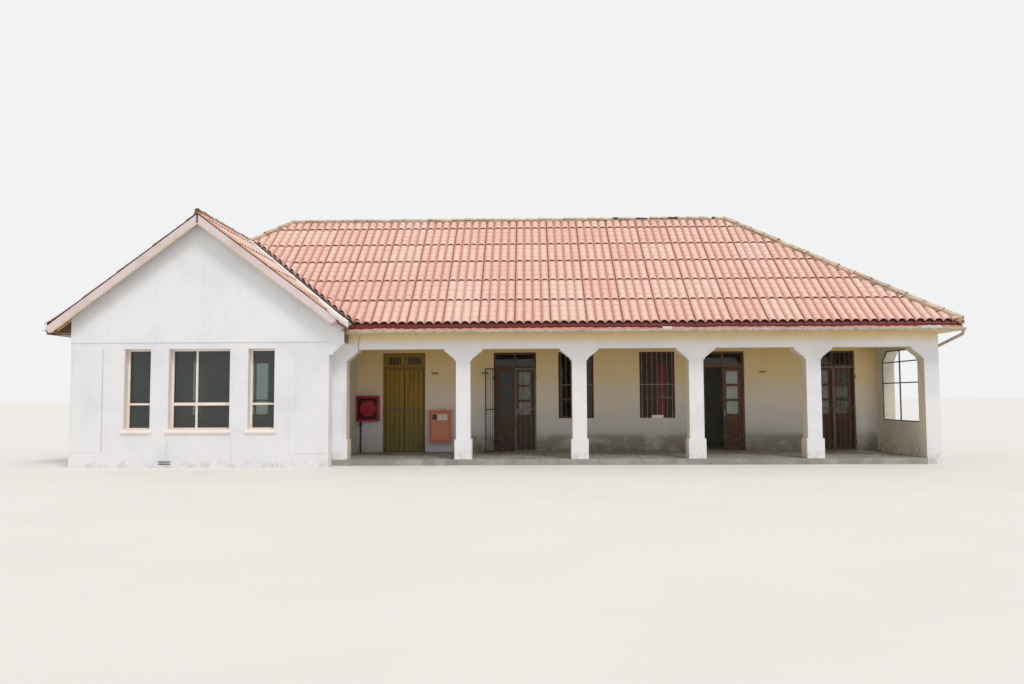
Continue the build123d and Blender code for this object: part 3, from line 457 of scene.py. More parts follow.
@dataclass(frozen=True)
class PorchRender(Finish):
    """Old cream wash of the porch's back wall: ochre near the ceiling, grey and stained below."""

    def material(self) -> bpy.types.Material:
        """The colour follows the height, with noise that moves the edges of each band."""
        s = Shader(self.name, 0.88, specular=0.15)
        x, y, z = s.axes()
        moved = s.math("ADD", z, s.times(s.math("SUBTRACT", s.noise(0.8, 4), 0.5), 0.7))
        height = s.math("DIVIDE", moved, 3.3)
        bands = [(0.0, (166, 162, 154)), (0.12, (192, 189, 184)), (0.30, (216, 213, 210)),
                 (0.50, (233, 220, 204)), (0.74, (238, 216, 168)), (0.97, (234, 204, 142))]
        base = s.ramp(height, bands)
        pale = s.times(s.fade(x, -1.2, -1.5), s.fade(moved, 1.25, 0.95))
        base = s.coat(base, (222, 222, 228), pale, 0.8)
        sooty = s.math("SUBTRACT", 1.0, s.times(pale, 0.8))
        darkening = s.times(s.fade(s.noise(1.3, 5, (1, 1, 2.2)), 0.36, 0.56), s.fade(z, 0.72, 0.50))
        base = s.coat(base, (138, 131, 113), darkening, 0.75, sooty)
        foot = s.times(s.fade(z, 0.5, 0.16), s.fade(s.noise(4.0, 4), 0.35, 0.65))
        base = s.coat(base, (110, 106, 98), foot, 0.6, sooty)
        base = s.coat(base, (244, 246, 244), s.fade(y, -0.72, -0.70))
        s.paint(base)
        s.relief(s.noise(60.0, 3), 0.0015)
        return s.material


@dataclass(frozen=True)
class Concrete(Finish):
    """Trowelled concrete, with tile joints if a spacing is given."""

    colour: Colour = (150, 149, 145)
    worn: Colour = (176, 172, 165)
    joint: float = 0.0

    def material(self) -> bpy.types.Material:
        """Joints lie at whole numbers of spacings along X and Y, on the top only; wear is large noise."""
        s = Shader(self.name, 0.8, specular=0.25)
        x, y, z = s.axes()
        base = s.mix(s.fade(s.noise(1.4, 5), 0.38, 0.66), shade(self.colour), shade(self.worn))
        base = s.coat(base, (128, 120, 108), s.fade(s.noise(9.0, 4), 0.5, 0.72), 0.5)
        if self.joint:
            lines = [s.math("PINGPONG", s.math("ADD", axis, 50.0), self.joint / 2) for axis in (x, y)]
            gap = s.times(s.fade(s.math("MINIMUM", *lines), 0.007, 0.002),
                          s.fade(z, FLOOR - 0.003, FLOOR - 0.001))
            tiles = s.vector(*[s.math("FLOOR", s.math("DIVIDE", axis, self.joint)) for axis in (x, y)], 0.0)
            base = s.coat(base, (122, 119, 113), s.chance(tiles), 0.35)
            base = s.coat(base, (66, 63, 58), gap)
            s.relief(s.math("SUBTRACT", 1.0, gap), 0.003)
        s.paint(base)
        s.relief(s.noise(45.0, 4), 0.002)
        return s.material


@dataclass(frozen=True)
class TerracottaSheet(Finish):
    """Sun-bleached terracotta sheets: pale crests, valleys darkened with painted shade, painted shadow along
    the ripples and course laps, dark side laps, blotches and lichen.
    """

    crest: Colour = (236, 205, 193)
    middle: Colour = (227, 182, 168)
    valley: Colour = (158, 102, 88)
    lichen: float = 0.0
    edge: float = -99.0
    stains: tuple[tuple[float, float], ...] = ()

    def material(self) -> bpy.types.Material:
        """U counts waves with a crest at each whole number, and V counts courses up the slope."""
        s = Shader(self.name, 0.75, specular=0.25)
        u, v, _ = s.axes(s.map())
        x, y, z = s.axes()
        across = s.times(s.math("PINGPONG", s.math("ADD", u, 1000.0), 0.5), 2.0)
        step = s.math("FRACT", v)
        sheet = s.vector(s.math("FLOOR", s.math("DIVIDE", s.math("SUBTRACT", u, 3.5), 4.0)),
                         s.math("FLOOR", v), 1.0)
        tone = s.chance(sheet)
        # Painted shade: the colour darkens from crest to valley for the shade in the waves' hollows.
        base = s.ramp(across, [(0.0, self.crest), (0.62, self.middle), (0.90, (208, 156, 140)),
                               (1.0, self.valley)])
        base = s.coat(base, (216, 158, 144), s.fade(tone, 0.35, 1.0), 0.26)
        base = s.coat(base, (238, 216, 202), s.fade(tone, 0.3, 0.0), 0.26)
        cream = s.times(s.fade(s.noise(5.5, 4), 0.48, 0.66), s.fade(across, 0.9, 0.4))
        base = s.coat(base, (230, 208, 186), cream, 0.40)
        pink = s.fade(s.noise(3.4, 4), 0.50, 0.70)
        base = s.coat(base, (226, 168, 160), pink, 0.35)
        ripple = s.math("FRACT", s.times(step, float(RIPPLES)))
        shadow = s.times(s.fade(ripple, 0.74, 1.0), s.fade(s.noise(7.0, 2), 0.32, 0.56))
        base = s.coat(base, (176, 114, 98), shadow, 0.50)
        # Painted shadow under each course's foot on the course below, and painted shade on the riser between
        # them.
        course_shadow = s.times(s.fade(step, 0.955, 0.990), s.fade(across, 0.80, 0.25))
        base = s.coat(base, (124, 64, 54), course_shadow, 0.80)
        riser = s.times(s.fade(step, 0.9965, 0.9985), s.fade(across, 0.86, 0.60))
        base = s.coat(base, (92, 42, 34), riser, 0.92)
        side = s.math("PINGPONG", s.math("ADD", s.math("SUBTRACT", u, 3.5), 400.0), 2.0)
        base = s.coat(base, (112, 62, 50), s.fade(side, 0.12, 0.03), 0.55)
        spots = s.fade(s.noise(16.0, 3), 0.68, 0.74)
        base = s.coat(base, (168, 134, 110), spots, 0.4)
        base = s.coat(base, (206, 160, 134), s.fade(y, self.edge + 0.075, self.edge + 0.065))
        base = s.coat(base, (150, 108, 86), s.fade(y, self.edge, self.edge - 0.003))
        for low, high in self.stains:
            spot = s.times(s.fade(x, low, low + 0.04), s.fade(x, high, high - 0.04))
            spot = s.times(spot, s.fade(z, 3.60, 3.50))
            base = s.coat(base, (140, 104, 122), spot, 0.75)
        if self.lichen:
            crust = s.times(s.fade(s.noise(9.0, 5), 0.50, 0.60), s.fade(s.noise(0.9, 2), 0.40, 0.62))
            base = s.coat(base, (206, 196, 172), crust, self.lichen)
            dark = s.times(s.fade(s.noise(21.0, 3), 0.61, 0.68), s.fade(s.noise(1.6, 2), 0.45, 0.60))
            base = s.coat(base, (118, 98, 82), dark, self.lichen)
        s.paint(base)
        s.relief(s.noise(80.0, 3), 0.0015)
        return s.material


@dataclass(frozen=True)
class RidgeTile(Finish):
    """Weathered half-round caps, each in its own tone of clay or mortar grey, with moss and dark crust."""

    gaps: tuple[tuple[float, float], ...] = ((3.13, 3.31), (3.79, 4.19), (4.76, 5.10), (5.98, 6.23))

    def material(self) -> bpy.types.Material:
        """U counts the caps, so its whole part picks a tone; moss is noise on the place."""
        s = Shader(self.name, 0.85, specular=0.2)
        u, v, _ = s.axes(s.map())
        x, _, z = s.axes()
        low_side = s.times(s.fade(s.math("ABSOLUTE", v), 0.55, 0.70), s.fade(z, 6.93, 6.95))
        tone = s.chance(s.vector(s.math("FLOOR", u), 3.0, 0.0))
        base = s.ramp(tone, [(0.0, (214, 172, 150)), (0.4, (216, 200, 176)), (0.7, (200, 184, 162)),
                             (1.0, (232, 204, 188))])
        base = s.coat(base, (184, 170, 144), s.fade(s.noise(5.0, 5), 0.45, 0.68), 0.6)
        moss = s.times(s.fade(s.noise(11.0, 4), 0.54, 0.64), 0.7)
        base = s.coat(base, (142, 128, 98), moss)
        crust = s.fade(s.noise(24.0, 3), 0.62, 0.70)
        base = s.coat(base, (58, 50, 44), crust, 0.8)
        for low, high in self.gaps:
            bare = s.times(s.fade(x, low, low + 0.05), s.fade(x, high, high - 0.05))
            base = s.coat(base, (84, 64, 66), bare, low_side)
        s.paint(base)
        s.relief(s.noise(30.0, 4), 0.004)
        return s.material


@dataclass(frozen=True)
class Mortar(Finish):
    """Lime mortar, or painted sheet in the valley, with patches and dirt."""

    colour: Colour = (232, 222, 214)
    patch: Colour = (214, 200, 192)
    dirt: Colour = (168, 150, 138)
    amount: float = 0.5

    def material(self) -> bpy.types.Material:
        """Two noises mix the three colours."""
        s = Shader(self.name, 0.8, specular=0.2)
        base = s.mix(s.fade(s.noise(3.0, 4), 0.4, 0.65), shade(self.colour), shade(self.patch))
        dirt = s.times(s.fade(s.noise(11.0, 4), 0.56, 0.68), self.amount)
        base = s.coat(base, self.dirt, dirt)
        s.paint(base)
        s.relief(s.noise(25.0, 4), 0.006)
        return s.material


@dataclass(frozen=True)
class PaintedWood(Finish):
    """Painted boards: brush lines along one axis, worn patches and dirt that gathers in the grain."""

    colour: Colour = (240, 236, 228)
    worn: Colour = (200, 190, 176)
    dirt: Colour = (150, 136, 120)
    along: int = 0
    rough: float = 0.6
    board: float = 0.0
    far: Colour | None = None
    far_from: float = -11.12

    def material(self) -> bpy.types.Material:
        """Brush lines are noise stretched along one axis; board joints repeat at a spacing across it."""
        s = Shader(self.name, self.rough, specular=0.3)
        stretch = [1.0, 1.0, 1.0]
        stretch[self.along] = 0.06
        grain = s.noise(42.0, 3, stretch)
        base = s.mix(s.fade(s.noise(2.0, 4), 0.42, 0.7), shade(self.colour), shade(self.worn))
        base = s.coat(base, self.dirt, s.fade(grain, 0.52, 0.72), 0.35)
        base = s.coat(base, self.dirt, s.fade(s.noise(16.0, 4), 0.62, 0.72), 0.4)
        if self.board:
            across = s.axes()[1 if self.along == 0 else 0]
            joint = s.fade(s.math("PINGPONG", s.math("ADD", across, 60.0), self.board / 2), 0.006, 0.0015)
            base = s.coat(base, (70, 58, 46), joint)
            s.relief(s.math("SUBTRACT", 1.0, joint), 0.004)
        # Painted shade: beyond far_from the undersides and back faces, and every face in front of y -4.51,
        # take the far colour, darkened along the grain, for the shade under the overhangs.
        if self.far:
            x, y, z = s.axes()
            beneath = s.math("MAXIMUM", s.fade(z, 3.272, 3.268), s.fade(y, -4.43, -4.44))
            beyond = s.times(s.fade(x, self.far_from, self.far_from - 0.02), beneath)
            beyond = s.math("MAXIMUM", beyond, s.fade(y, -4.51, -4.52))
            base = s.mix(beyond, base, s.mix(s.fade(grain, 0.4, 0.7), shade(self.far), shade((84, 64, 50))))
        s.paint(base)
        s.relief(grain, 0.0008)
        return s.material


@dataclass(frozen=True)
class DoorWood(Finish):
    """Old door paint or varnish: dark upright grain, bleached above and grimy below."""

    upper: Colour = (150, 92, 40)
    lower: Colour = (84, 52, 34)
    grain: Colour = (56, 34, 22)
    rough: float = 0.5

    def material(self) -> bpy.types.Material:
        """The two colours fade over the height; the grain is noise stretched upright."""
        s = Shader(self.name, self.rough, specular=0.35)
        _, _, z = s.axes()
        height = s.math("ADD", z, s.times(s.noise(1.6, 3), 0.6))
        base = s.mix(s.fade(height, 0.5, 2.4), shade(self.lower), shade(self.upper))
        lines = s.noise(30.0, 4, (1.0, 1.0, 0.05))
        base = s.coat(base, self.grain, s.fade(lines, 0.48, 0.72), 0.55)
        worn = s.times(s.fade(s.noise(6.0, 5), 0.5, 0.7), s.fade(z, 1.5, 0.3))
        base = s.coat(base, (128, 118, 96), worn, 0.4)
        s.paint(base)
        s.relief(lines, 0.0012)
        return s.material


@dataclass(frozen=True)
class DoorFrames(Finish):
    """The four door frames in one node: olive, dark brown, orange brown and dark brown from the left."""

    colours: tuple[Colour, ...] = ((132, 106, 38), (92, 66, 42), (118, 78, 46), (92, 62, 44))

    def material(self) -> bpy.types.Material:
        """The colour is picked by the place along the front, and grain is laid over it."""
        s = Shader(self.name, 0.5, specular=0.35)
        x, _, z = s.axes()
        share = s.math("DIVIDE", s.math("ADD", x, 5.0), 20.0)
        edges = (0.0, 0.18, 0.41, 0.64)
        base = s.ramp(share, list(zip(edges, self.colours)), stepped=True)
        lines = s.noise(34.0, 4, (1.0, 1.0, 0.06))
        base = s.coat(base, (52, 34, 22), s.fade(lines, 0.5, 0.72), 0.5)
        base = s.coat(base, (78, 66, 50), s.fade(z, 0.6, 0.15), 0.5)
        s.paint(base)
        s.relief(lines, 0.001)
        return s.material


@dataclass(frozen=True)
class Iron(Finish):
    """Bar iron or sheet under old paint, with rust where it has chipped."""

    colour: Colour = (84, 88, 88)
    rust: Colour = (104, 66, 44)
    amount: float = 0.5
    rough: float = 0.5

    def material(self) -> bpy.types.Material:
        """Rust is fine noise inside larger patches."""
        s = Shader(self.name, self.rough, metallic=0.15, specular=0.4)
        chips = s.times(s.fade(s.noise(30.0, 4), 0.50, 0.62), s.fade(s.noise(3.0, 3), 0.40, 0.62))
        base = s.mix(s.fade(s.noise(8.0, 3), 0.4, 0.7), shade(self.colour),
                     shade(tuple(c * 0.82 for c in self.colour)))
        base = s.coat(base, self.rust, chips, self.amount)
        s.paint(base)
        s.relief(s.noise(60.0, 3), 0.0006)
        return s.material


@dataclass(frozen=True)
class Enamel(Finish):
    """Glossy sheet enamel, with dust on it and small chips."""

    colour: Colour = (166, 34, 46)
    dust: Colour = (176, 120, 110)
    rough: float = 0.32

    def material(self) -> bpy.types.Material:
        """Dust is large noise; chips are the peaks of fine noise."""
        s = Shader(self.name, self.rough, specular=0.5)
        base = s.mix(s.times(s.fade(s.noise(4.0, 4), 0.45, 0.75), 0.35), shade(self.colour),
                     shade(self.dust))
        base = s.coat(base, (70, 40, 34), s.fade(s.noise(34.0, 3), 0.73, 0.77))
        s.paint(base)
        s.relief(s.noise(9.0, 2), 0.0012)
        return s.material


@dataclass(frozen=True)
class Glass(Finish):
    """Old window glass, dark from the room behind it, with a little dust."""

    tint: Colour = (170, 182, 176)
    rough: float = 0.03
    dust: float = 0.35
    porch: Colour | None = None

    def material(self) -> bpy.types.Material:
        """Clear glass whose tint is broken by a little dust; in the porch's back wall the tint is darker and
        browner, painted shade of the rooms behind.
        """
        s = Shader(self.name, self.rough, specular=0.3)
        tint = shade(self.tint)
        if self.porch:
            y = s.axes()[1]
            tint = s.mix(s.times(s.fade(y, -1.2, -1.1), s.fade(y, -0.6, -0.7)), tint, shade(self.porch))
        dust = s.times(s.fade(s.noise(3.0, 4), 0.5, 0.8), self.dust)
        s.paint(s.mix(dust, tint, shade((160, 162, 154))))
        s.surface.inputs["Transmission Weight"].default_value = 0.95
        s.surface.inputs["IOR"].default_value = 1.45
        s.relief(s.noise(1.4, 1), 0.0008)
        return s.material


@dataclass(frozen=True)
class Cloth(Finish):
    """A hanging curtain or blind behind a pane."""

    colour: Colour = (206, 184, 138)
    fold_shade: float = 0.62

    def material(self) -> bpy.types.Material:
        """Folds are noise stretched upright and darker in their hollows by the fold_shade factor, painted
        shade; the weave is fine bump.
        """
        s = Shader(self.name, 0.9, specular=0.1)
        folds = s.noise(14.0, 2, (1.0, 1.0, 0.12))
        s.paint(s.mix(s.fade(folds, 0.35, 0.7), shade(self.colour),
                      shade(tuple(c * self.fold_shade for c in self.colour))))
        s.relief(folds, 0.006)
        return s.material


class Palette(Enum):
    """Every finish on the building."""

    WALL = LimeWash("white_render")
    WING = LimeWash("wing_render", reveal=(236, 226, 220), dirt=0.4)
    # Painted shade on the corbel's right side face.
    CORBEL = LimeWash("corbel_render", shaded_side=(-3.962, 3.04))
    BEAM = LimeWash("beam_render", behind=(226, 216, 196), top=(222, 202, 156), splash_height=0.45, dirt=0.6)
    SIDE_WALL = LimeWash("side_render", behind=(224, 217, 202), splash=(150, 132, 106), splash_height=0.7,
                         dirt=0.7)
    CLADDING = LimeWash("gable_sheet", (235, 236, 239), cloud=(227, 228, 231), run=(222, 220, 216))
    BACK_WALL = PorchRender("cream_render")
    PORCH_FLOOR = Concrete("porch_tiles", joint=0.30)
    ROOM_FLOOR = Concrete("room_floor", colour=(196, 192, 184), worn=(206, 202, 194))
    TILES = TerracottaSheet("terracotta", stains=((-1.46, -1.2), (1.14, 1.66)))
    WING_TILES = TerracottaSheet("terracotta_wing", crest=(238, 212, 204), middle=(232, 199, 190),
                                 lichen=0.8, edge=-4.785)
    CAPS = RidgeTile("ridge_tile")
    VALLEY = Mortar("valley_flashing", amount=0.25)
    WHITE_MORTAR = Mortar("white_mortar", (238, 235, 232), (226, 220, 214), (196, 182, 166), amount=0.2)
    BEDDING = Mortar("ridge_bedding", (186, 160, 140), (158, 132, 112), (92, 72, 60), amount=0.9)
    # Also colours the dark board of painted shade at the fascia's left end.
    APEX_AND_GAP_SHADE = Mortar("apex_filling", (116, 108, 106), (98, 92, 90), (62, 58, 56), amount=0.8)
    SHADE_LINE = Mortar("field_edge", (196, 198, 204), (186, 188, 194), (170, 170, 172), amount=0.3)
    CRACK = Mortar("crack_line", (176, 170, 164), (160, 154, 146), (140, 132, 122), amount=0.5)
    # Painted shade: dark grey for the shade under the valley's raised sheet ends.
    VALLEY_SHADE = Mortar("valley_painted_shade", (70, 74, 78), (58, 62, 66), (40, 42, 46), amount=0.6)
    # Painted shade: dark maroon for the shaded hollows under the waves at the eaves.
    EAVE_SHADE = Mortar("eave_painted_shade", (84, 36, 30), (64, 28, 24), (40, 24, 20), amount=0.7)
    # Painted shade: its far colour is the fascia in the shade under the left eave's overhang.
    FASCIA = PaintedWood("salmon_fascia", (238, 172, 150), (232, 156, 132), (204, 122, 102),
                         far=(124, 98, 78))
    # Painted shadow: maroon for the tiles' scalloped shadow on the salmon fascia.
    FASCIA_SHADOW = PaintedWood("maroon_painted_shadow", (112, 46, 46), (98, 42, 44), (74, 34, 36), rough=0.5)
    BARGE = PaintedWood("pinkish_barge", (222, 206, 206), (210, 192, 192), (188, 170, 162))
    BARGE_TRIM = PaintedWood("cream_trim", (228, 214, 184), (220, 200, 164), (190, 168, 126))
    BROKEN_WOOD = PaintedWood("broken_wood", (152, 112, 78), (120, 84, 56), (84, 58, 42), along=2)
    # Painted shade: dark brown for the shade under the left eave's overhang.
    SHADED_EAVE_BOARDS = PaintedWood("eave_boards_painted_shade", (108, 84, 64), (90, 70, 54), (60, 46, 36), along=1,
                             board=0.14)
    SOFFIT = PaintedWood("verge_soffit", (226, 196, 156), (206, 172, 132), (150, 118, 84), along=1)
    ROOF_WOOD = PaintedWood("roof_boards", (150, 122, 96), (128, 102, 80), (88, 68, 52), along=1, board=0.14)
    # Painted shade: its far colour is the soffit in the shade under the left overhang.
    CEILING = PaintedWood("ceiling_boards", (226, 206, 160), (214, 190, 146), (170, 146, 108), board=0.12,
                          far=(128, 102, 78), far_from=-10.74)
    PEACH = PaintedWood("peach_paint", (246, 234, 226), (240, 222, 210), (218, 196, 178), rough=0.5)
    SILL = LimeWash("sill_render", (243, 232, 225), cloud=(238, 222, 211), run=(226, 204, 184))
    OUTER_FRAME = PaintedWood("outer_frames", (104, 72, 54), (88, 60, 46), (60, 42, 32), along=2, rough=0.5)
    PORCH_FRAME = PaintedWood("porch_frames", (98, 58, 46), (82, 48, 40), (52, 32, 28), along=2, rough=0.5)
    SHUTTER = DoorWood("shutter_boards", (64, 45, 33), (54, 38, 30), (34, 24, 18))
    RED_SHUTTER = DoorWood("red_boards", (112, 42, 44), (124, 36, 46), (58, 28, 26))
    OLIVE = DoorWood("olive_planks", (156, 124, 40), (124, 116, 62), (70, 62, 30), rough=0.6)
    OLIVE_SHADE = DoorWood("olive_joints", (58, 48, 18), (50, 46, 24), (30, 26, 12), rough=0.8)
    BROWN = DoorWood("brown_door", upper=(94, 64, 46), lower=(72, 50, 38))
    ORANGE = DoorWood("orange_door", upper=(108, 70, 42), lower=(70, 47, 34))
    DOOR_FRAMES = DoorFrames("door_frame_paint")
    GATE = Iron("gate_iron", (128, 134, 134), amount=0.4)
    DARK_GATE = Iron("gate_iron_shaded", (84, 88, 88), amount=0.3)
    BROWN_IRON = Iron("brown_iron", (128, 108, 94))
    PALE_IRON = Iron("pale_iron", (164, 152, 138), amount=0.3)
    STRAP = Iron("strap_iron", (108, 104, 74), amount=0.6)
    # Also the painted shade behind the first door's transom slats.
    DARK_IRON_AND_SHADE = Iron("dark_iron_and_painted_shade", (58, 56, 54), amount=0.3)
    LIGHT_IRON = Iron("steel_frame", (112, 102, 86), amount=0.8)
    GUTTER = Iron("gutter_paint", (182, 172, 152), rust=(150, 122, 96), amount=0.35)
    # Also the painted highlight on the front gutter's rim.
    WHITE_GUTTER_AND_HIGHLIGHT = Iron("white_gutter_and_rim_highlight", (226, 226, 222), rust=(180, 150, 120), amount=0.25)
    SMALL_METAL = Iron("fitting_metal", (150, 134, 108), amount=0.4)
    BRASS = Iron("worn_brass", (176, 150, 96), amount=0.3, rough=0.35)
    RED = Enamel("crimson_enamel")
    DARK_CRIMSON_AND_RECESS_SHADE = Enamel("dark_crimson_and_recess_shade", (70, 18, 28), (88, 40, 44), rough=0.5)
    SALMON = Enamel("salmon_enamel", (206, 112, 78), (214, 150, 122), rough=0.4)
    SALMON_DOOR = Enamel("salmon_door", (204, 124, 98), (214, 156, 134), rough=0.35)
    # Also the colour of the plaster fields' strips of painted highlight.
    WHITE_BLOCK_AND_HIGHLIGHT = Enamel("white_block_and_highlight", (250, 250, 248), (236, 234, 228), rough=0.6)
    BLANK_PLATE = Enamel("blank_plate", (222, 214, 194), (206, 198, 180), rough=0.45)
    GLASS = Glass("window_glass", porch=(126, 118, 104))
    # Painted shade: a dark tint for the dark rooms behind these panes.
    DARK_PANE = Glass("dark_pane", tint=(62, 62, 58), dust=0.06)
    PANE = Glass("door_glass", tint=(226, 230, 226))
    SHADOW_CLOTH = Cloth("dark_curtain", (56, 54, 44))
    CURTAIN = Cloth("tan_curtain", (176, 150, 104), fold_shade=0.5)
    BLIND = Cloth("pale_blind", (250, 252, 248), fold_shade=0.93)
    PAPER = Cloth("white_blind", (214, 218, 216))


class Workshop:
    """Turns shapes into pieces: mesh, finish, body and the nodes that the piece stands for."""

    def __init__(self) -> None:
        """Starts with no materials made."""
        self.materials: dict[Palette, bpy.types.Material] = {}

    def material(self, finish: Palette) -> bpy.types.Material:
        """The finish's material, made once."""
        if finish not in self.materials:
            self.materials[finish] = finish.value.material()
        return self.materials[finish]

    def pieces(self, rows: Sequence[tuple], body: str = BUILDING) -> None:
        """Makes plain pieces: name, shape, finish, slot, bevel and any nodes that the piece stands for."""
        for name, shape, finish, slot, bevel, *stood in rows:
            self.piece(name, shape, finish, body, stood, bevel)

    def piece(self, name: str, shape: Shape, finish: Palette, body: str = BUILDING,
              replaces: Sequence[str] = (), bevel: float = 0.0, smooth: bool = False, shell: float = 0.0,
              run: np.ndarray | None = None, weld: float = 0.0) -> bpy.types.Object:
        """Makes one piece of the building.

        Args:
            name: the piece's name.
            shape: its points and faces.
            finish: from the palette.
            body: the body that it rides on.
            replaces: the nodes that it stands for.
            bevel: width of rounded edges.
            smooth: whether faces are shaded smooth.
            shell: thickness that a surface gets downwards from its faces.
            run: rows of U and V for each point.
            weld: distance under which points become one.

        Returns:
            The new object.
        """
        mesh = bpy.data.meshes.new(name)
        faces = [row for block in shape.faces for row in block.tolist()]
        mesh.from_pydata(shape.points.tolist(), [], faces)
        if run is not None:
            corners = np.empty(len(mesh.loops), np.int32)
            mesh.loops.foreach_get("vertex_index", corners)
            layer = mesh.uv_layers.new(name="run")
            layer.data.foreach_set("uv", run[corners].astype(np.float32).ravel())
        if weld:
            self.weld(mesh, weld)
        mesh.polygons.foreach_set("use_smooth", np.full(len(mesh.polygons), smooth))
        mesh.materials.append(self.material(finish))
        mesh.update()
        made = bpy.data.objects.new(name, mesh)
        bpy.context.scene.collection.objects.link(made)
        if shell:
            thick = made.modifiers.new("shell", "SOLIDIFY")
            thick.thickness, thick.offset = shell, -1.0
        if bevel:
            edge = made.modifiers.new("edge", "BEVEL")
            edge.width, edge.segments, edge.limit_method = bevel, 2, "ANGLE"
        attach(made, body)
        if replaces:
            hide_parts(*replaces)
        LOG.info("%s: %d faces on %s", name, len(mesh.polygons), body)
        return made

    @staticmethod
    def weld(mesh: bpy.types.Mesh, distance: float) -> None:
        """Merges points that lie together, which also takes out faces without area."""
        work = bmesh.new()
        work.from_mesh(mesh)
        bmesh.ops.remove_doubles(work, verts=work.verts, dist=distance)
        bmesh.ops.dissolve_degenerate(work, edges=work.edges, dist=distance)
        work.to_mesh(mesh)
        work.free()

    def dress(self, nodes: dict[str, bpy.types.Object], finishes: dict[Palette, Sequence[str]]) -> None:
        """Gives carried-over nodes their finishes.

        Args:
            nodes: the frame's node objects by name.
            finishes: node names for each finish.
        """
        for finish, names in finishes.items():
            for name in names:
                mesh = nodes[name].data
                mesh.materials.clear()
                mesh.materials.append(self.material(finish))
                LOG.info("%s: dressed with %s", name, finish.value.name)


# The roof


@dataclass(frozen=True)
class Slope:
    """One plane of the roof: u runs along its eave and s is the level distance up from it."""

    name: str
    origin: tuple[float, float]
    eave: tuple[float, float]
    left: Sequence[tuple[float, float]]
    right: Sequence[tuple[float, float]]
    start: float
    end: float
    number: int
    phase: float = FIRST_CREST

    def points(self, u: np.ndarray, s: np.ndarray, lift: np.ndarray) -> np.ndarray:
        """Points over the plan: origin + u * eave + s * rise, at the height eave + 0.75 s + lift."""
        ex, ey = self.eave
        along, uphill = np.array([ex, ey]), np.array([-ey, ex])
        flat = np.asarray(self.origin) + u[..., None] * along + s[..., None] * uphill
        height = EAVE_HEIGHT + PITCH * s + lift
        return np.concatenate([flat, height[..., None]], axis=-1)


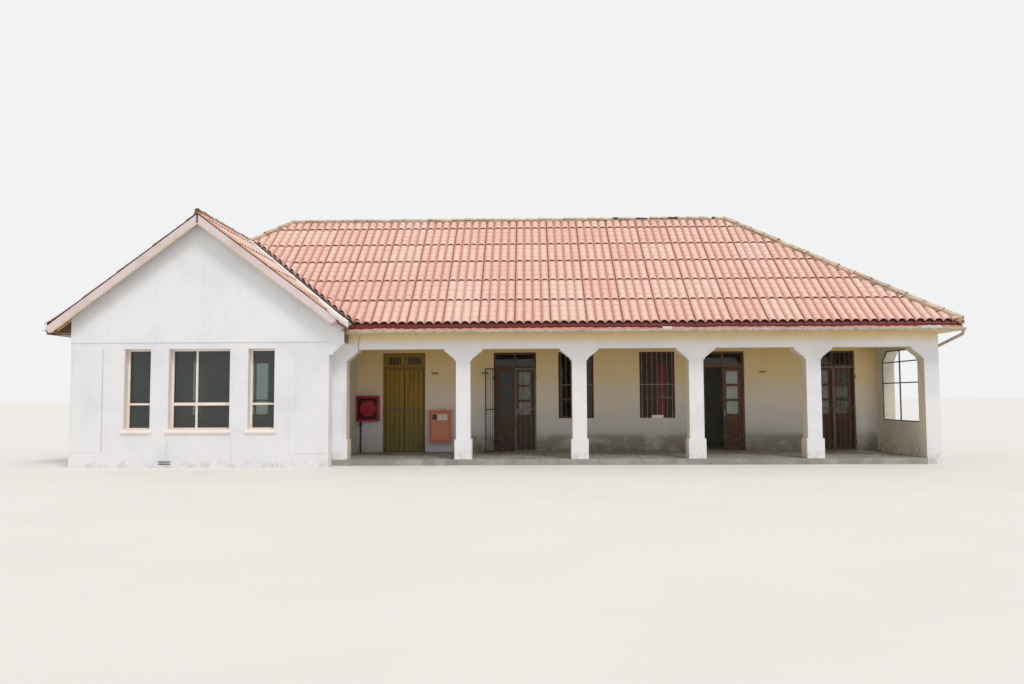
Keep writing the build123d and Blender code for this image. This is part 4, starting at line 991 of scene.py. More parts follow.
@dataclass
class SheetRoof:
    """Corrugated terracotta sheets, four waves wide and lapped in six courses, and the ridge caps."""

    pitch: float = WAVE
    depth: float = 0.084
    lap: float = 0.028
    raised: float = 0.024
    kick: float = 0.035
    ripple: float = 0.006
    side_step: float = 0.005
    metal: float = 0.006
    feet: tuple[float, ...] = (0.0, 0.91, 1.74, 2.60, 3.42, 4.26, 5.10)
    cut_rise: float = 0.078
    columns: tuple[float, ...] = (0.0, 0.17, 0.31, 0.42, 0.5, 0.58, 0.69, 0.83)
    missing_caps: tuple[int, ...] = (33,)
    seed: int = 7
    slopes: list[Slope] = field(default_factory=lambda: [
        Slope("front", (0.0, -4.44), (1.0, 0.0), [(0, -3.72), (3.695, -7.415), (3.6951, -7.535),
                                                  (4.69, -6.54)],
              [(0, 11.17), (4.69, 6.48)], 0.0, 4.69, 1),
        Slope("rear", (0.0, 4.94), (-1.0, 0.0), [(0, -11.17), (4.69, -6.48)], [(0, 11.23), (4.69, 6.54)],
              0.0, 4.69, 2),
        Slope("right", (11.17, 0.0), (0.0, 1.0), [(0, -4.44), (4.69, 0.25)], [(0, 4.94), (4.69, 0.25)], 0.0,
              4.69, 3),
        Slope("left_low", (-11.23, 0.0), (0.0, -1.0), [(0, -4.94), (3.695, -1.245)],
              [(0, 4.79), (3.695, 4.79)], 0.0, 3.695, 4, 4.689),
        Slope("left_high", (-11.23, 0.0), (0.0, -1.0), [(3.695, -1.245), (4.69, -0.25)],
              [(3.695, 0.745), (4.69, -0.25)], 3.695, 4.69, 4, 4.689),
        Slope("wing", (-3.84, 0.0), (0.0, 1.0), [(0, -4.79), (3.695, -4.79)], [(0, -4.56), (3.695, -0.865)],
              0.0, 3.695, 5, -4.689),
    ])

    def rows(self, start: float, end: float) -> np.ndarray:
        """Level distances of the grid's rows: three to a ripple, with a close pair where courses lap."""
        feet = np.asarray(self.feet)
        share = (np.arange(RIPPLES)[:, None] + np.array([0.0, 0.5, 0.96])[None]).ravel() / RIPPLES
        share[-1] = 0.9985
        rows = (feet[:-1, None] + share[None] * np.diff(feet)[:, None]).ravel()
        rows = rows[(rows > start + 1e-3) & (rows < end - 1e-3)]
        return np.concatenate([[start], rows, [end]])

    def waves(self, low: float, high: float, phase: float) -> np.ndarray:
        """Places of the grid's columns along the eave: eight to a wave, and a close pair at side laps."""
        first, last = (low - phase) / self.pitch, (high - phase) / self.pitch
        whole = np.arange(math.floor(first), math.ceil(last) + 1)
        even = (whole[:, None] + np.asarray(self.columns)[None]).ravel()
        laps = np.arange(math.floor((first - 3.5) / 4), math.ceil((last - 3.5) / 4) + 1) * 4 + 3.5
        places = np.union1d(even, laps + 0.02)
        return np.clip(places * self.pitch + phase, low, high)

    def lift(self, wave: np.ndarray, course: np.ndarray) -> np.ndarray:
        """Height of the sheets over the roof plane.

        The wave falls from its crest as 0.6 |t| ** 2 + 0.4 |t| ** 4 with t from -1 to 1 across it, which
        gives wide crests and narrow valleys. Each course starts one lap higher than the top of the course
        below and sinks to it, most at the crests. Ripples sink the same way, and each sheet's far edge lies
        a step under the next one.

        Args:
            wave: place along the eave in waves, a crest at each whole number.
            course: place up the slope in courses.

        Returns:
            The height in metres, as an array of the same form.
        """
        t = np.abs(2 * (wave - np.round(wave)))
        part = course - np.floor(course)
        sheet = (wave - 3.5) / 4
        across = sheet - np.floor(sheet)
        crown = 1 - t**2
        ripple = part * RIPPLES
        fall = self.lap * part * (0.12 + 0.88 * crown)
        fall += self.ripple * (ripple - np.floor(ripple)) * (0.4 + 0.6 * crown)
        return self.raised - (self.depth * (0.6 * t**2 + 0.4 * t**4) + fall + self.side_step * across)

    def eave_lift(self, course: np.ndarray) -> np.ndarray:
        """The sheets' tilt over the eave's batten: kick * (1 - course) ** 2 over the first course."""
        return self.kick * np.clip(1 - course, 0, 1) ** 2

    def grid(self, slope: Slope) -> tuple[Shape, np.ndarray]:
        """The sheets of one slope as a grid that is cut along its hips and valleys, and its U and V."""
        s = self.rows(slope.start, slope.end)
        left = np.interp(s, *zip(*slope.left))
        right = np.interp(s, *zip(*slope.right))
        u = self.waves(float(left.min()), float(right.max()), slope.phase)
        grid_u = np.clip(u[None, :], left[:, None], right[:, None])
        grid_s = np.broadcast_to(s[:, None], grid_u.shape)
        wave = (grid_u - slope.phase) / self.pitch
        course = np.interp(grid_s, self.feet, np.arange(len(self.feet)))
        rng = np.random.default_rng(self.seed + slope.number)
        rows, columns = grid_u.shape
        uneven = rng.normal(0, 0.001, columns)[None, :] + rng.normal(0, 0.0006, rows)[:, None]
        lift = self.lift(wave, course) + np.clip(uneven, -0.002, 0.002)
        if slope.name != "wing":
            lift = lift + self.eave_lift(course)
        shape = closed_grid(slope.points(grid_u, grid_s, lift))
        return shape, np.stack([wave.ravel(), course.ravel()], axis=1)

    def caps(self, start: Sequence[float], end: Sequence[float], first: int, length: float,
             radius: float) -> tuple[Shape, np.ndarray]:
        """Half-round caps along a line, each a shell that narrows towards its far end under the next one.

        A ring is centre + r (sin a * side + cos a * up) for a from -95 to 95 degrees, once outside and once
        inside.

        Args:
            start: the line's first point.
            end: its last point.
            first: the number of the first cap, for its tone.
            length: seen length of a cap.
            radius: of the wide end.

        Returns:
            The caps as one shape, with U and V for each point.
        """
        a, b = np.asarray(start, float), np.asarray(end, float)
        whole = float(np.linalg.norm(b - a))
        count = max(1, round(whole / length))
        number = np.arange(count)
        keep = ~np.isin(number + first, self.missing_caps)
        rng = np.random.default_rng(self.seed + first)
        along = (b - a) / whole
        side = np.cross(along, [0, 0, 1.0])
        side /= np.linalg.norm(side)
        up = np.cross(side, along)
        step = whole / count
        part = np.array([0.0, 0.03, 0.5, 1.0])
        angle = np.radians(np.linspace(-95, 95, 11))
        uneven = rng.normal(0, 0.006, (count, 1))
        low = np.clip(number[:, None] * step + part[None] * step * 1.03 + uneven, 0, whole)
        r = radius * (1.0 - 0.16 * part[None] + rng.normal(0, 0.045, (count, 1)))
        wall = 0.013
        outer, inner = r[..., None], (r - wall)[..., None]
        ring_r = np.concatenate([np.broadcast_to(outer, (count, 4, 11)),
                                 np.broadcast_to(inner, (count, 4, 11))], axis=2)
        ring_a = np.concatenate([angle, angle[::-1]])
        tilt = rng.normal(0, 0.07, (count, 1, 1))
        offset_side = ring_r * np.sin(ring_a + tilt)
        offset_up = ring_r * np.cos(ring_a + tilt) * 0.84
        sink = rng.normal(-0.016, 0.007, (count, 1)) - 0.010 * part
        centre = a + low[..., None] * along + sink[..., None] * up
        points = centre[:, :, None] + offset_side[..., None] * side + offset_up[..., None] * up
        ring = points.shape[2]
        k = np.arange(ring)
        nxt = (k + 1) % ring
        tube = np.stack([k, k + ring, nxt + ring, nxt], axis=1)
        tube = (tube[None] + ring * np.arange(3)[:, None, None]).reshape(-1, 4)
        j = np.arange(10)
        near = np.stack([j, j + 1, ring - 2 - j, ring - 1 - j], axis=1)
        far = near[:, ::-1] + 3 * ring
        block = np.concatenate([tube, near, far])
        bases = 4 * ring * np.flatnonzero(keep)
        faces = (block[None] + bases[:, None, None]).reshape(-1, 4)
        u = np.broadcast_to((number + first)[:, None, None] + 0.5, points.shape[:3])
        v = np.broadcast_to(ring_a, points.shape[:3])
        shape = Shape(points.reshape(-1, 3), [faces])
        return shape, np.stack([u.ravel(), v.ravel()], axis=1)

    def cap_lines(self) -> list[tuple[Sequence[float], Sequence[float], float, float]]:
        """The main ridge, the four hips, the wing's ridge and a short cap: ends, cap length, radius."""
        top = EAVE_HEIGHT + PITCH * 4.69 + 0.012
        wing_top = EAVE_HEIGHT + PITCH * 3.695 + 0.012
        left, right = (-6.54, RIDGE_Y, top), (6.48, RIDGE_Y, top)
        return [
            (left, right, 0.37, 0.084),
            ((11.14, -4.41, 3.565), right, 0.50, 0.096),
            ((11.14, 4.91, 3.565), right, 0.50, 0.096),
            ((-11.2, 4.91, 3.565), left, 0.50, 0.096),
            ((WING_RIDGE, -0.745, wing_top), left, 0.46, 0.090),
            ((WING_RIDGE, -4.78, wing_top), (WING_RIDGE, -0.76, wing_top), 0.42, 0.078),
            ((5.74, RIDGE_Y, top), (5.985, RIDGE_Y, top), 0.25, 0.090),
        ]

    def cut_ends(self, past: np.ndarray, rows: np.ndarray) -> tuple[np.ndarray, np.ndarray, np.ndarray]:
        """Where the front sheets are cut along the valley, and how their crests spring up there.

        A crest rises by cut_rise * (1 - t ** 2) at the cut and sinks to the sheet smoothly over 0.4 m of the
        eave's direction. The rise also fades out over the last 0.2 m under the wing's ridge.

        Args:
            past: distances from the cut along the eave, one for each column.
            rows: level distances up from the eave.

        Returns:
            Points of the raised sheets, and their places in waves and courses.
        """
        slope = self.slopes[0]
        u = -3.72 - rows[:, None] + past[None]
        s = np.broadcast_to(rows[:, None], u.shape)
        wave = (u - slope.phase) / self.pitch
        course = np.interp(s, self.feet, np.arange(len(self.feet)))
        t = 2 * (wave - np.round(wave))
        part = np.clip(1 - past[None] / 0.4, 0, 1)
        rise = self.cut_rise * (1 - t**2) * part**2 * (3 - 2 * part) * np.clip((3.66 - s) / 0.2, 0, 1)
        return slope.points(u, s, self.lift(wave, course) + self.eave_lift(course) + rise), wave, course

    def valley(self) -> dict[str, tuple[Shape, Palette, np.ndarray | None]]:
        """The valley: flashing, mortar along the wing's tiles, raised sheet ends and a dark sheet of painted
        shade below them.

        The flashing's points are valley + d * (1, 1) / sqrt 2, set on the main slope for d above zero and on
        the wing's slope below it, and lowered under the sheets.
        """
        steps = np.linspace(0.02, 3.66, 40)
        reach = np.array([-0.19, -0.12, -0.05, 0.0, 0.05, 0.12, 0.19])
        rng = np.random.default_rng(self.seed)
        x = -3.84 - steps[:, None] + reach[None] * 0.707
        y = -4.44 + steps[:, None] + reach[None] * 0.707
        main = EAVE_HEIGHT + PITCH * (y + 4.44)
        wing = EAVE_HEIGHT + PITCH * (-3.84 - x)
        z = np.maximum(np.where(reach[None] >= 0, main, wing), np.minimum(main, wing)) - 0.073
        strip = sheet(x, y, z)
        line = np.linspace(0.03, 3.66, 120)
        wide = np.interp(line, [0.0, 0.45, 0.70, 0.85, 1.00, 1.20, 1.45, 1.60, 3.66],
                         [1.5, 1.5, 1.3, 0.8, 1.2, 1.5, 1.2, 0.6, 0.4])[:, None]
        across = -(0.045 + np.array([0.0, 0.015, 0.06, 0.15])[None] * wide)
        bump = np.array([0.0, 0.100, 0.112, 0.060])[None] + rng.normal(0, 0.005, (len(line), 4))
        px = -3.84 - line[:, None] + across
        py = -4.44 + line[:, None] + across
        bed = sheet(px, py, EAVE_HEIGHT + PITCH * (-3.84 - px) - 0.072 + bump)
        rows = np.linspace(0.0, 3.66, 190)
        ends, wave, course = self.cut_ends(np.linspace(0.0, 0.4, 15), rows)
        ends[..., 2] += 0.003 + rng.normal(0, 0.002, (len(rows), 1))
        # Painted shade: a dark sheet from the raised sheet ends down to the plane, for the shade under them.
        head = self.cut_ends(np.array([0.014]), rows)[0]
        head[..., 2] -= 0.004
        foot = head.copy()
        foot[..., 2] = np.minimum(EAVE_HEIGHT + PITCH * rows[:, None] - 0.0725, head[..., 2] - 0.001)
        shade_sheet = closed_grid(np.concatenate([foot, head], axis=1))
        return {
            "valley_flashing": (strip, Palette.VALLEY, None),
            "valley_mortar": (bed, Palette.WHITE_MORTAR, None),
            "valley_sheet_ends": (closed_grid(ends), Palette.TILES,
                                  np.stack([wave.ravel(), course.ravel()], axis=1)),
            "valley_shade_sheet": (shade_sheet, Palette.VALLEY_SHADE, None),
            "valley_foot_mortar": (self.foot_mortar(), Palette.WHITE_MORTAR, None),
        }

    def foot_mortar(self) -> Shape:
        """The lump over the wing's last tiles: their plane plus a rough bump, and a skirt."""
        rng = np.random.default_rng(self.seed + 40)
        x = np.linspace(-4.31, -3.80, 27)
        y = np.array([-4.794, -4.794, -4.77, -4.70, -4.62, -4.54, -4.46])
        high = np.array([-0.115, 0.030, 0.062, 0.072, 0.066, 0.050, 0.0])
        rough = np.array([0.014, 0.004, 0.006, 0.006, 0.006, 0.006, 0.01])[:, None]
        ragged = rng.normal(0, 1.0, (len(y), len(x))) * rough
        start = np.clip((x + 4.33) / 0.14, 0, 1)
        plane = EAVE_HEIGHT + PITCH * (-3.84 - x)
        z = plane[None] + high[:, None] * (0.35 + 0.65 * start)[None] + ragged
        return sheet(x, y[:, None], z)

    def bedding(self, start: Sequence[float], end: Sequence[float], radius: float, number: int) -> Shape:
        """Rough mortar under a line of caps.

        Across the line it falls with the tiles, as 0.62 of the level distance, and its two edges dip below
        them.

        Args:
            start: the line's first point.
            end: its last point.
            radius: of the caps over it.
            number: of the line, for its roughness.

        Returns:
            The strip as a surface that faces upwards.
        """
        a, b = np.asarray(start, float), np.asarray(end, float)
        steps = np.linspace(0, 1, max(8, int(np.linalg.norm(b - a) / 0.06)))
        side = np.cross(b - a, [0, 0, 1.0])
        side /= np.linalg.norm(side)
        rng = np.random.default_rng(self.seed + number)
        share = np.array([-1.25, -1.0, -0.55, 0.0, 0.55, 1.0, 1.25])[None]
        across = share * radius + rng.normal(0, 0.006, (len(steps), 7))
        dip = np.array([0.075, 0.0, 0.0, 0.0, 0.0, 0.0, 0.075])[None]
        height = 0.010 - 0.62 * np.abs(across) - dip + rng.normal(0, 0.006, (len(steps), 7))
        line = a + steps[:, None] * (b - a)
        rows = line[:, None] + across[..., None] * side + height[..., None] * np.array([0, 0, 1.0])
        return closed_grid(rows)

    def build(self, shop: Workshop) -> None:
        """Makes the sheets of each slope, the caps, and the valley's flashing and mortar."""
        looks = {"front": Palette.TILES, "rear": Palette.TILES, "right": Palette.TILES,
                 "left_low": Palette.WING_TILES, "left_high": Palette.WING_TILES, "wing": Palette.WING_TILES}
        stood = {"front": ["main_roof_tiles"], "rear": ["main_roof_tiles"], "right": ["main_roof_tiles"],
                 "left_low": ["main_roof_tiles", "wing_roof_tiles"], "left_high": ["main_roof_tiles"],
                 "wing": ["wing_roof_tiles"]}
        for slope in self.slopes:
            shape, run = self.grid(slope)
            shop.piece(f"{slope.name}_roof_sheets", shape, looks[slope.name], smooth=True,
                       replaces=stood[slope.name], shell=self.metal, run=run, weld=0.0005)
        made, beds = [], []
        for number, (start, end, length, radius) in enumerate(self.cap_lines()):
            made.append(self.caps(start, end, 60 * number, length, radius))
            beds.append(self.bedding(start, end, radius, number))
        shop.piece("ridge_and_hip_caps", joined([m[0] for m in made]), Palette.CAPS,
                   smooth=True, replaces=["ridge_caps"], run=np.concatenate([m[1] for m in made]))
        shop.piece("ridge_bedding", joined(beds), Palette.BEDDING, smooth=True, shell=0.012)
        for name, (shape, finish, run) in self.valley().items():
            shop.piece(name, shape, finish, smooth=True, shell=0.005, run=run)


@dataclass
class Eaves:
    """What hangs at the eaves: a scalloped maroon sheet of painted shadow on the fascia, dark strips of
    painted shade behind the waves, the gutter rim's painted highlight and brackets.
    """

    left: float = -3.84
    right: float = 11.13
    face: float = -4.406
    foot: float = 3.398
    head: float = 3.492
    pitch: float = WAVE
    seed: int = 3

    def cover(self) -> Shape:
        """A thin maroon sheet of painted shadow, the tiles' scalloped shadow on the fascia, with a wavy
        foot: z = foot - 0.016 |sin| of the wave, broken by low noise.
        """
        x = np.arange(self.left, self.right, self.pitch / 8)
        rng = np.random.default_rng(self.seed)
        slow = np.interp(x, np.linspace(self.left, self.right, 40), rng.uniform(-0.012, 0.012, 40))
        foot = self.foot - 0.016 * np.abs(np.sin((x - FIRST_CREST) / self.pitch * np.pi)) + slow
        rows = np.stack([foot, foot + 0.03, np.full_like(x, self.head)])
        y = np.array([self.face - 0.004, self.face - 0.003, self.face])[:, None]
        return sheet(x, y, rows)

    def filling(self) -> Shape:
        """A dark strip of painted shade that closes the waves behind every eave: its top follows the sheets'
        underside.
        """
        roof = SheetRoof()
        made = []
        for slope in roof.slopes[:4]:
            s = 0.045
            left, right = np.interp(s, *zip(*slope.left)), np.interp(s, *zip(*slope.right))
            u = np.arange(left + 0.02, right - 0.02, self.pitch / 16)
            course = np.full_like(u, 0.05)
            high = roof.lift((u - slope.phase) / self.pitch, course) + roof.eave_lift(course) - 0.009
            low = np.full_like(u, -0.08 - PITCH * s)
            rows = [slope.points(u, np.full_like(u, s), row) for row in (low, high)]
            made.append(closed_grid(np.stack(rows)))
        return joined(made)

    def brackets(self) -> Shape:
        """Flat straps round the gutter every 0.9 m."""
        x = np.arange(self.left + 0.3, self.right, 0.9)
        front = [(a - 0.012, a + 0.012, -4.508, -4.505, 3.268, 3.33) for a in x]
        under = [(a - 0.012, a + 0.012, -4.508, -4.406, 3.2665, 3.27) for a in x]
        return bars(front + under)

    def left_gutter(self) -> Shape:
        """A half-round gutter along the left eave, closed at both ends, with its brackets."""
        angle = np.radians(np.linspace(180, 360, 13))
        radius, centre = np.array([0.0, 0.048, 0.048, 0.045, 0.045, 0.0]), (-11.285, 3.385)
        y = np.array([-4.70, -4.70, 4.86, 4.857, -4.697, -4.697])
        x = centre[0] + radius[:, None] * np.cos(angle)
        z = centre[1] + radius[:, None] * np.sin(angle)
        trough = sheet(x, y[:, None], z)
        radii = np.array([[0.0], [0.047]])
        end = sheet(centre[0] + radii * np.cos(angle), 4.8585, centre[1] + radii * np.sin(angle))
        straps = bars([(-11.238, -11.196, y0, y0 + 0.024, 3.37, 3.386) for y0 in np.arange(-4.5, 4.8, 0.9)])
        return joined([trough, end, straps])

    def build(self, shop: Workshop) -> None:
        """Makes the painted shadow sheet on the fascia, the strips of painted shade behind the waves, the
        gutter parts with the rim's painted highlight, the fascia end's shadow board and the patches.
        """
        shop.piece("fascia_painted_shadow", self.cover(), Palette.FASCIA_SHADOW, smooth=True, shell=0.003)
        shop.piece("eave_painted_shade", self.filling(), Palette.EAVE_SHADE, smooth=True,
                   shell=0.003)
        shop.piece("gutter_brackets", self.brackets(), Palette.GUTTER)
        shop.piece("left_gutter", self.left_gutter(), Palette.WHITE_GUTTER_AND_HIGHLIGHT)
        # Painted highlight: a thin white strip along the gutter's top edge for the light it catches.
        rim = bars([(-3.874, 11.169, -4.5078, -4.5052, 3.321, 3.3298)])
        shop.piece("gutter_rim_highlight", rim, Palette.WHITE_GUTTER_AND_HIGHLIGHT, bevel=0.0008)
        # Painted shade: a dark board for the shadow gap between the gable's sheets and the fascia's end.
        shadow_board = bars([(-3.879, -3.8415, -4.4125, -4.4062, 3.332, 3.458)])
        shop.piece("fascia_end_shadow_board", shadow_board, Palette.APEX_AND_GAP_SHADE)
        patches = [(3.86, 4.08, -4.4115, -4.4052, 3.335, 3.40),
                   (10.15, 10.62, -4.4115, -4.4052, 3.335, 3.385)]
        shop.piece("fascia_patches", bars(patches), Palette.WALL, bevel=0.002)


# The wing


@dataclass
class WingFront:
    """The wing's front: gable sheets, sills, plaster fields, cracks, beads, vent and verge boards."""

    foot: float = 3.07
    joints: tuple[float, ...] = (-9.81, -8.635, -7.457, -6.275, -5.101)
    low: float = -10.74
    high: float = -3.96
    apex: float = 6.096
    windows: tuple[tuple[float, float], ...] = ((-9.395, -8.745), (-8.2925, -6.7775), (-6.325, -5.675))
    sill_top: float = 0.92

    def sheets(self) -> Shape:
        """Flat sheets between upright joints, each cut along the roof line z = 6.096 - 0.75 |x - ridge|."""
        edges = [self.low, *self.joints, self.high]
        made = []
        for a, b in zip(edges[:-1], edges[1:]):
            a, b = a + 0.001, b - 0.001
            corners = [(a, self.foot), (b, self.foot), (b, self.apex - PITCH * abs(b - WING_RIDGE))]
            if a < WING_RIDGE < b:
                corners.append((WING_RIDGE, self.apex))
            corners.append((a, self.apex - PITCH * abs(a - WING_RIDGE)))
            made.append(prism(corners, -4.47, GABLE_FACE))
        return joined(made)

    def sills(self) -> Shape:
        """Sloping sills with a rounded nose: the nose is a half circle between the lip's top and foot."""
        angle = np.radians(np.linspace(70, 250, 9))
        top, foot = self.sill_top + 0.004, self.sill_top - 0.1
        nose_y = -4.473 + 0.027 * np.cos(angle)
        nose_z = (top + foot) / 2 - 0.008 + 0.040 * np.sin(angle)
        lip = [(GABLE_FACE, foot + 0.004), (GABLE_FACE, top), *zip(nose_y.tolist(), nose_z.tolist())]
        slope = [(-4.4495, 0.9203), (-4.2405, 0.9203), (-4.2405, 0.952), (-4.4495, 0.925)]
        made = []
        for a, b in self.windows:
            made += [prism(lip, a - 0.05, b + 0.05, 0), prism(slope, a + 0.001, b - 0.001, 0)]
        return joined(made)

    def panels(self) -> Shape:
        """Two plaster fields 10 mm proud: a grid whose height is the product of two smooth edges."""
        made = []
        for x0, x1, z0, z1 in ((-10.69, -9.93, 0.39, 2.93), (-5.235, -4.39, 0.35, 2.70)):
            u = np.array([0, 0.012, 0.5, 0.988, 1])
            v = np.array([0, 0.004, 0.5, 0.996, 1])
            edge = (np.minimum(u, 1 - u)[None, :] > 0) & (np.minimum(v, 1 - v)[:, None] > 0)
            made.append(sheet(x0 + (x1 - x0) * u, GABLE_FACE - 0.010 * edge, z0 + (z1 - z0) * v[:, None]))
        return joined(made)

    def roof_edge(self, x: float) -> float:
        """Underside of the tiles at the verge: 6.206 - 0.75 |x - ridge|."""
        return VERGE_TOP - PITCH * abs(x - WING_RIDGE)

    def strip(self, left: float, right: float, top: float, depth: float) -> list[tuple[float, float]]:
        """The outline of a board under the verge on one side: its lower edge, then its upper one."""
        return [(left, self.roof_edge(left) - top - depth), (right, self.roof_edge(right) - top - depth),
                (right, self.roof_edge(right) - top), (left, self.roof_edge(left) - top)]

    def barges(self) -> Shape:
        """Both bargeboards: the left foot is cut square and the right one broken off in steps."""
        depth, gap = 0.212, 0.026
        left = self.strip(-11.23, WING_RIDGE - gap, 0.0, depth)
        left[0] = (-11.128, self.roof_edge(-11.128) - depth)
        right = self.strip(WING_RIDGE + gap, -4.21, 0.0, depth)
        breaks = [(-4.14, 0.165), (-4.17, 0.125), (-4.08, 0.095), (-4.12, 0.055), (-4.05, 0.0)]
        right[2:3] = [(x, self.roof_edge(x) - drop) for x, drop in breaks]
        return joined([prism(left, -4.782, VERGE_BACK), prism(right, -4.782, VERGE_BACK)])

    def trims(self) -> Shape:
        """A narrow batten under each bargeboard, a little behind its face."""
        depth, drop = 0.034, 0.212
        left = self.strip(-11.08, WING_RIDGE, drop, depth)
        right = self.strip(WING_RIDGE, -4.26, drop, depth)
        return joined([prism(left, -4.770, VERGE_BACK), prism(right, -4.770, VERGE_BACK)])

    def apex_block(self) -> Shape:
        """The filling between the two bargeboards at the ridge."""
        outline = self.strip(WING_RIDGE - 0.025, WING_RIDGE + 0.025, 0.0, 0.205)
        return prism(outline, -4.766, VERGE_BACK)

    def splinters(self) -> Shape:
        """Three ends of split board below the broken bargeboard."""
        made = []
        for x, top, foot, width in ((-4.19, 0.10, 0.27, 0.022), (-4.135, 0.05, 0.22, 0.030),
                                    (-4.07, 0.02, 0.17, 0.026)):
            edge = self.roof_edge(x)
            made.append(prism([(x - 0.006, edge - foot), (x + width * 0.3, edge - foot + 0.02),
                               (x + width, edge - top), (x, edge - top)], -4.772, VERGE_BACK))
        return joined(made)

    def soffits(self) -> Shape:
        """Two boards under each overhang, between the bargeboard and the gable's sheets."""
        made = []
        for left, right in ((-11.16, -10.76), (-10.76, WING_RIDGE), (WING_RIDGE, -4.30)):
            for near, far in ((-4.748, -4.612), (-4.608, -4.472)):
                made.append(prism(self.strip(left, right, 0.077, 0.014), near, far))
        return joined(made)

    def eave_end(self, dark: bool) -> Shape:
        """Boards that close the left eave's end beside the gable: a sloping one, and ones below it in dark
        brown, painted shade under the overhang.
        """
        left, right = -11.11, -10.745
        if not dark:
            return prism(self.strip(left, right, 0.09, 0.10), -4.464, GABLE_FACE)
        corners = [(left, 3.315), (right, 3.315), (right, self.roof_edge(right) - 0.192),
                   (left, self.roof_edge(left) - 0.192)]
        return prism(corners, -4.460, GABLE_FACE)

    def field_edges(self, highlight: bool) -> Shape:
        """Strips of painted highlight at the fields' feet and the right one's left side, or a strip of
        painted shadow along the left one's edge.
        """
        y = (-4.4622, GABLE_FACE)
        if not highlight:
            return bars([(-9.942, -9.930, *y, 0.39, 2.93)])
        return bars([(-10.69, -9.944, *y, 0.385, 0.397), (-5.235, -4.39, *y, 0.345, 0.357),
                     (-5.235, -5.223, *y, 0.357, 2.70)])

    def cracks(self) -> Shape:
        """Two hair cracks from the middle window's sill to the foot: short rods between uneven points."""
        rng = np.random.default_rng(11)
        starts, ends = [], []
        for x in (-8.34, -6.73):
            z = np.linspace(0.78, 0.10, 9)
            at = x + np.cumsum(rng.normal(0, 0.012, 9))
            line = np.stack([at, np.full(9, -4.4500), z], axis=1)
            starts.append(line[:-1])
            ends.append(line[1:])
        return rods(np.concatenate(starts), np.concatenate(ends), 0.0028, 5)

    def beads(self) -> Shape:
        """Thin beads round every light, a little behind the frame's face."""
        rows = []
        for index, (a, b) in enumerate(self.windows):
            rail = 0.032 if index == 1 else 0.02
            stops = [a + 0.04, b - 0.04]
            if index == 1:
                middle = a + (b - a) * 0.41
                stops = [a + 0.04, middle - 0.02, middle + 0.02, b - 0.04]
            for x0, x1 in zip(stops[::2], stops[1::2]):
                for z0, z1 in ((0.96, 1.55 - rail), (1.55 + rail, 2.87)):
                    rows += frame_rows((x0, x1), (-4.228, -4.2135), (z0, z1), 0.006)
        return bars(rows)

    def vent(self) -> Shape:
        """A cast frame with seven upright bars over the foot vent."""
        x0, x1, z0, z1 = -8.50, -8.22, 0.075, 0.155
        rows = [(x0, x1, -4.458, GABLE_FACE, z0, z0 + 0.014), (x0, x1, -4.458, GABLE_FACE, z1 - 0.014, z1)]
        rows += [(x, x + 0.012, -4.457, GABLE_FACE, z0 + 0.014, z1 - 0.014)
                 for x in np.linspace(x0, x1 - 0.012, 7)]
        return bars(rows)

    def build(self, shop: Workshop) -> None:
        """Makes the wing's pieces."""
        shop.pieces((
            ("gable_sheets", self.sheets(), Palette.CLADDING, "white_render", 0.0015, "gable_cladding"),
            ("window_sills", self.sills(), Palette.SILL, "white_render", 0.0, "wing_window_sills"),
            ("plaster_fields", self.panels(), Palette.WING, "white_render", 0.0),
            ("field_shadow_edge", self.field_edges(False), Palette.SHADE_LINE, "white_render", 0.0),
            ("field_painted_highlights", self.field_edges(True), Palette.WHITE_BLOCK_AND_HIGHLIGHT, "white_render", 0.0),
            ("wall_cracks", self.cracks(), Palette.CRACK, "white_render", 0.0),
            ("eave_end_board", self.eave_end(False), Palette.SOFFIT, "roof_wood", 0.002),
            ("eave_end_shaded_boards", self.eave_end(True), Palette.SHADED_EAVE_BOARDS, "roof_wood", 0.002),
            ("window_beads", self.beads(), Palette.PEACH, "cream_wood", 0.0),
            ("foot_vent", self.vent(), Palette.DARK_IRON_AND_SHADE, "dark_iron", 0.0),
            ("barge_boards", self.barges(), Palette.BARGE, "white_wood", 0.002, "bargeboards"),
            ("barge_trims", self.trims(), Palette.BARGE_TRIM, "cream_wood", 0.0015),
            ("apex_filling", self.apex_block(), Palette.APEX_AND_GAP_SHADE, "roof_wood", 0.0),
            ("broken_board_ends", self.splinters(), Palette.BROKEN_WOOD, "roof_wood", 0.0),
            ("verge_soffit_boards", self.soffits(), Palette.SOFFIT, "cream_wood", 0.001)))


# The porch


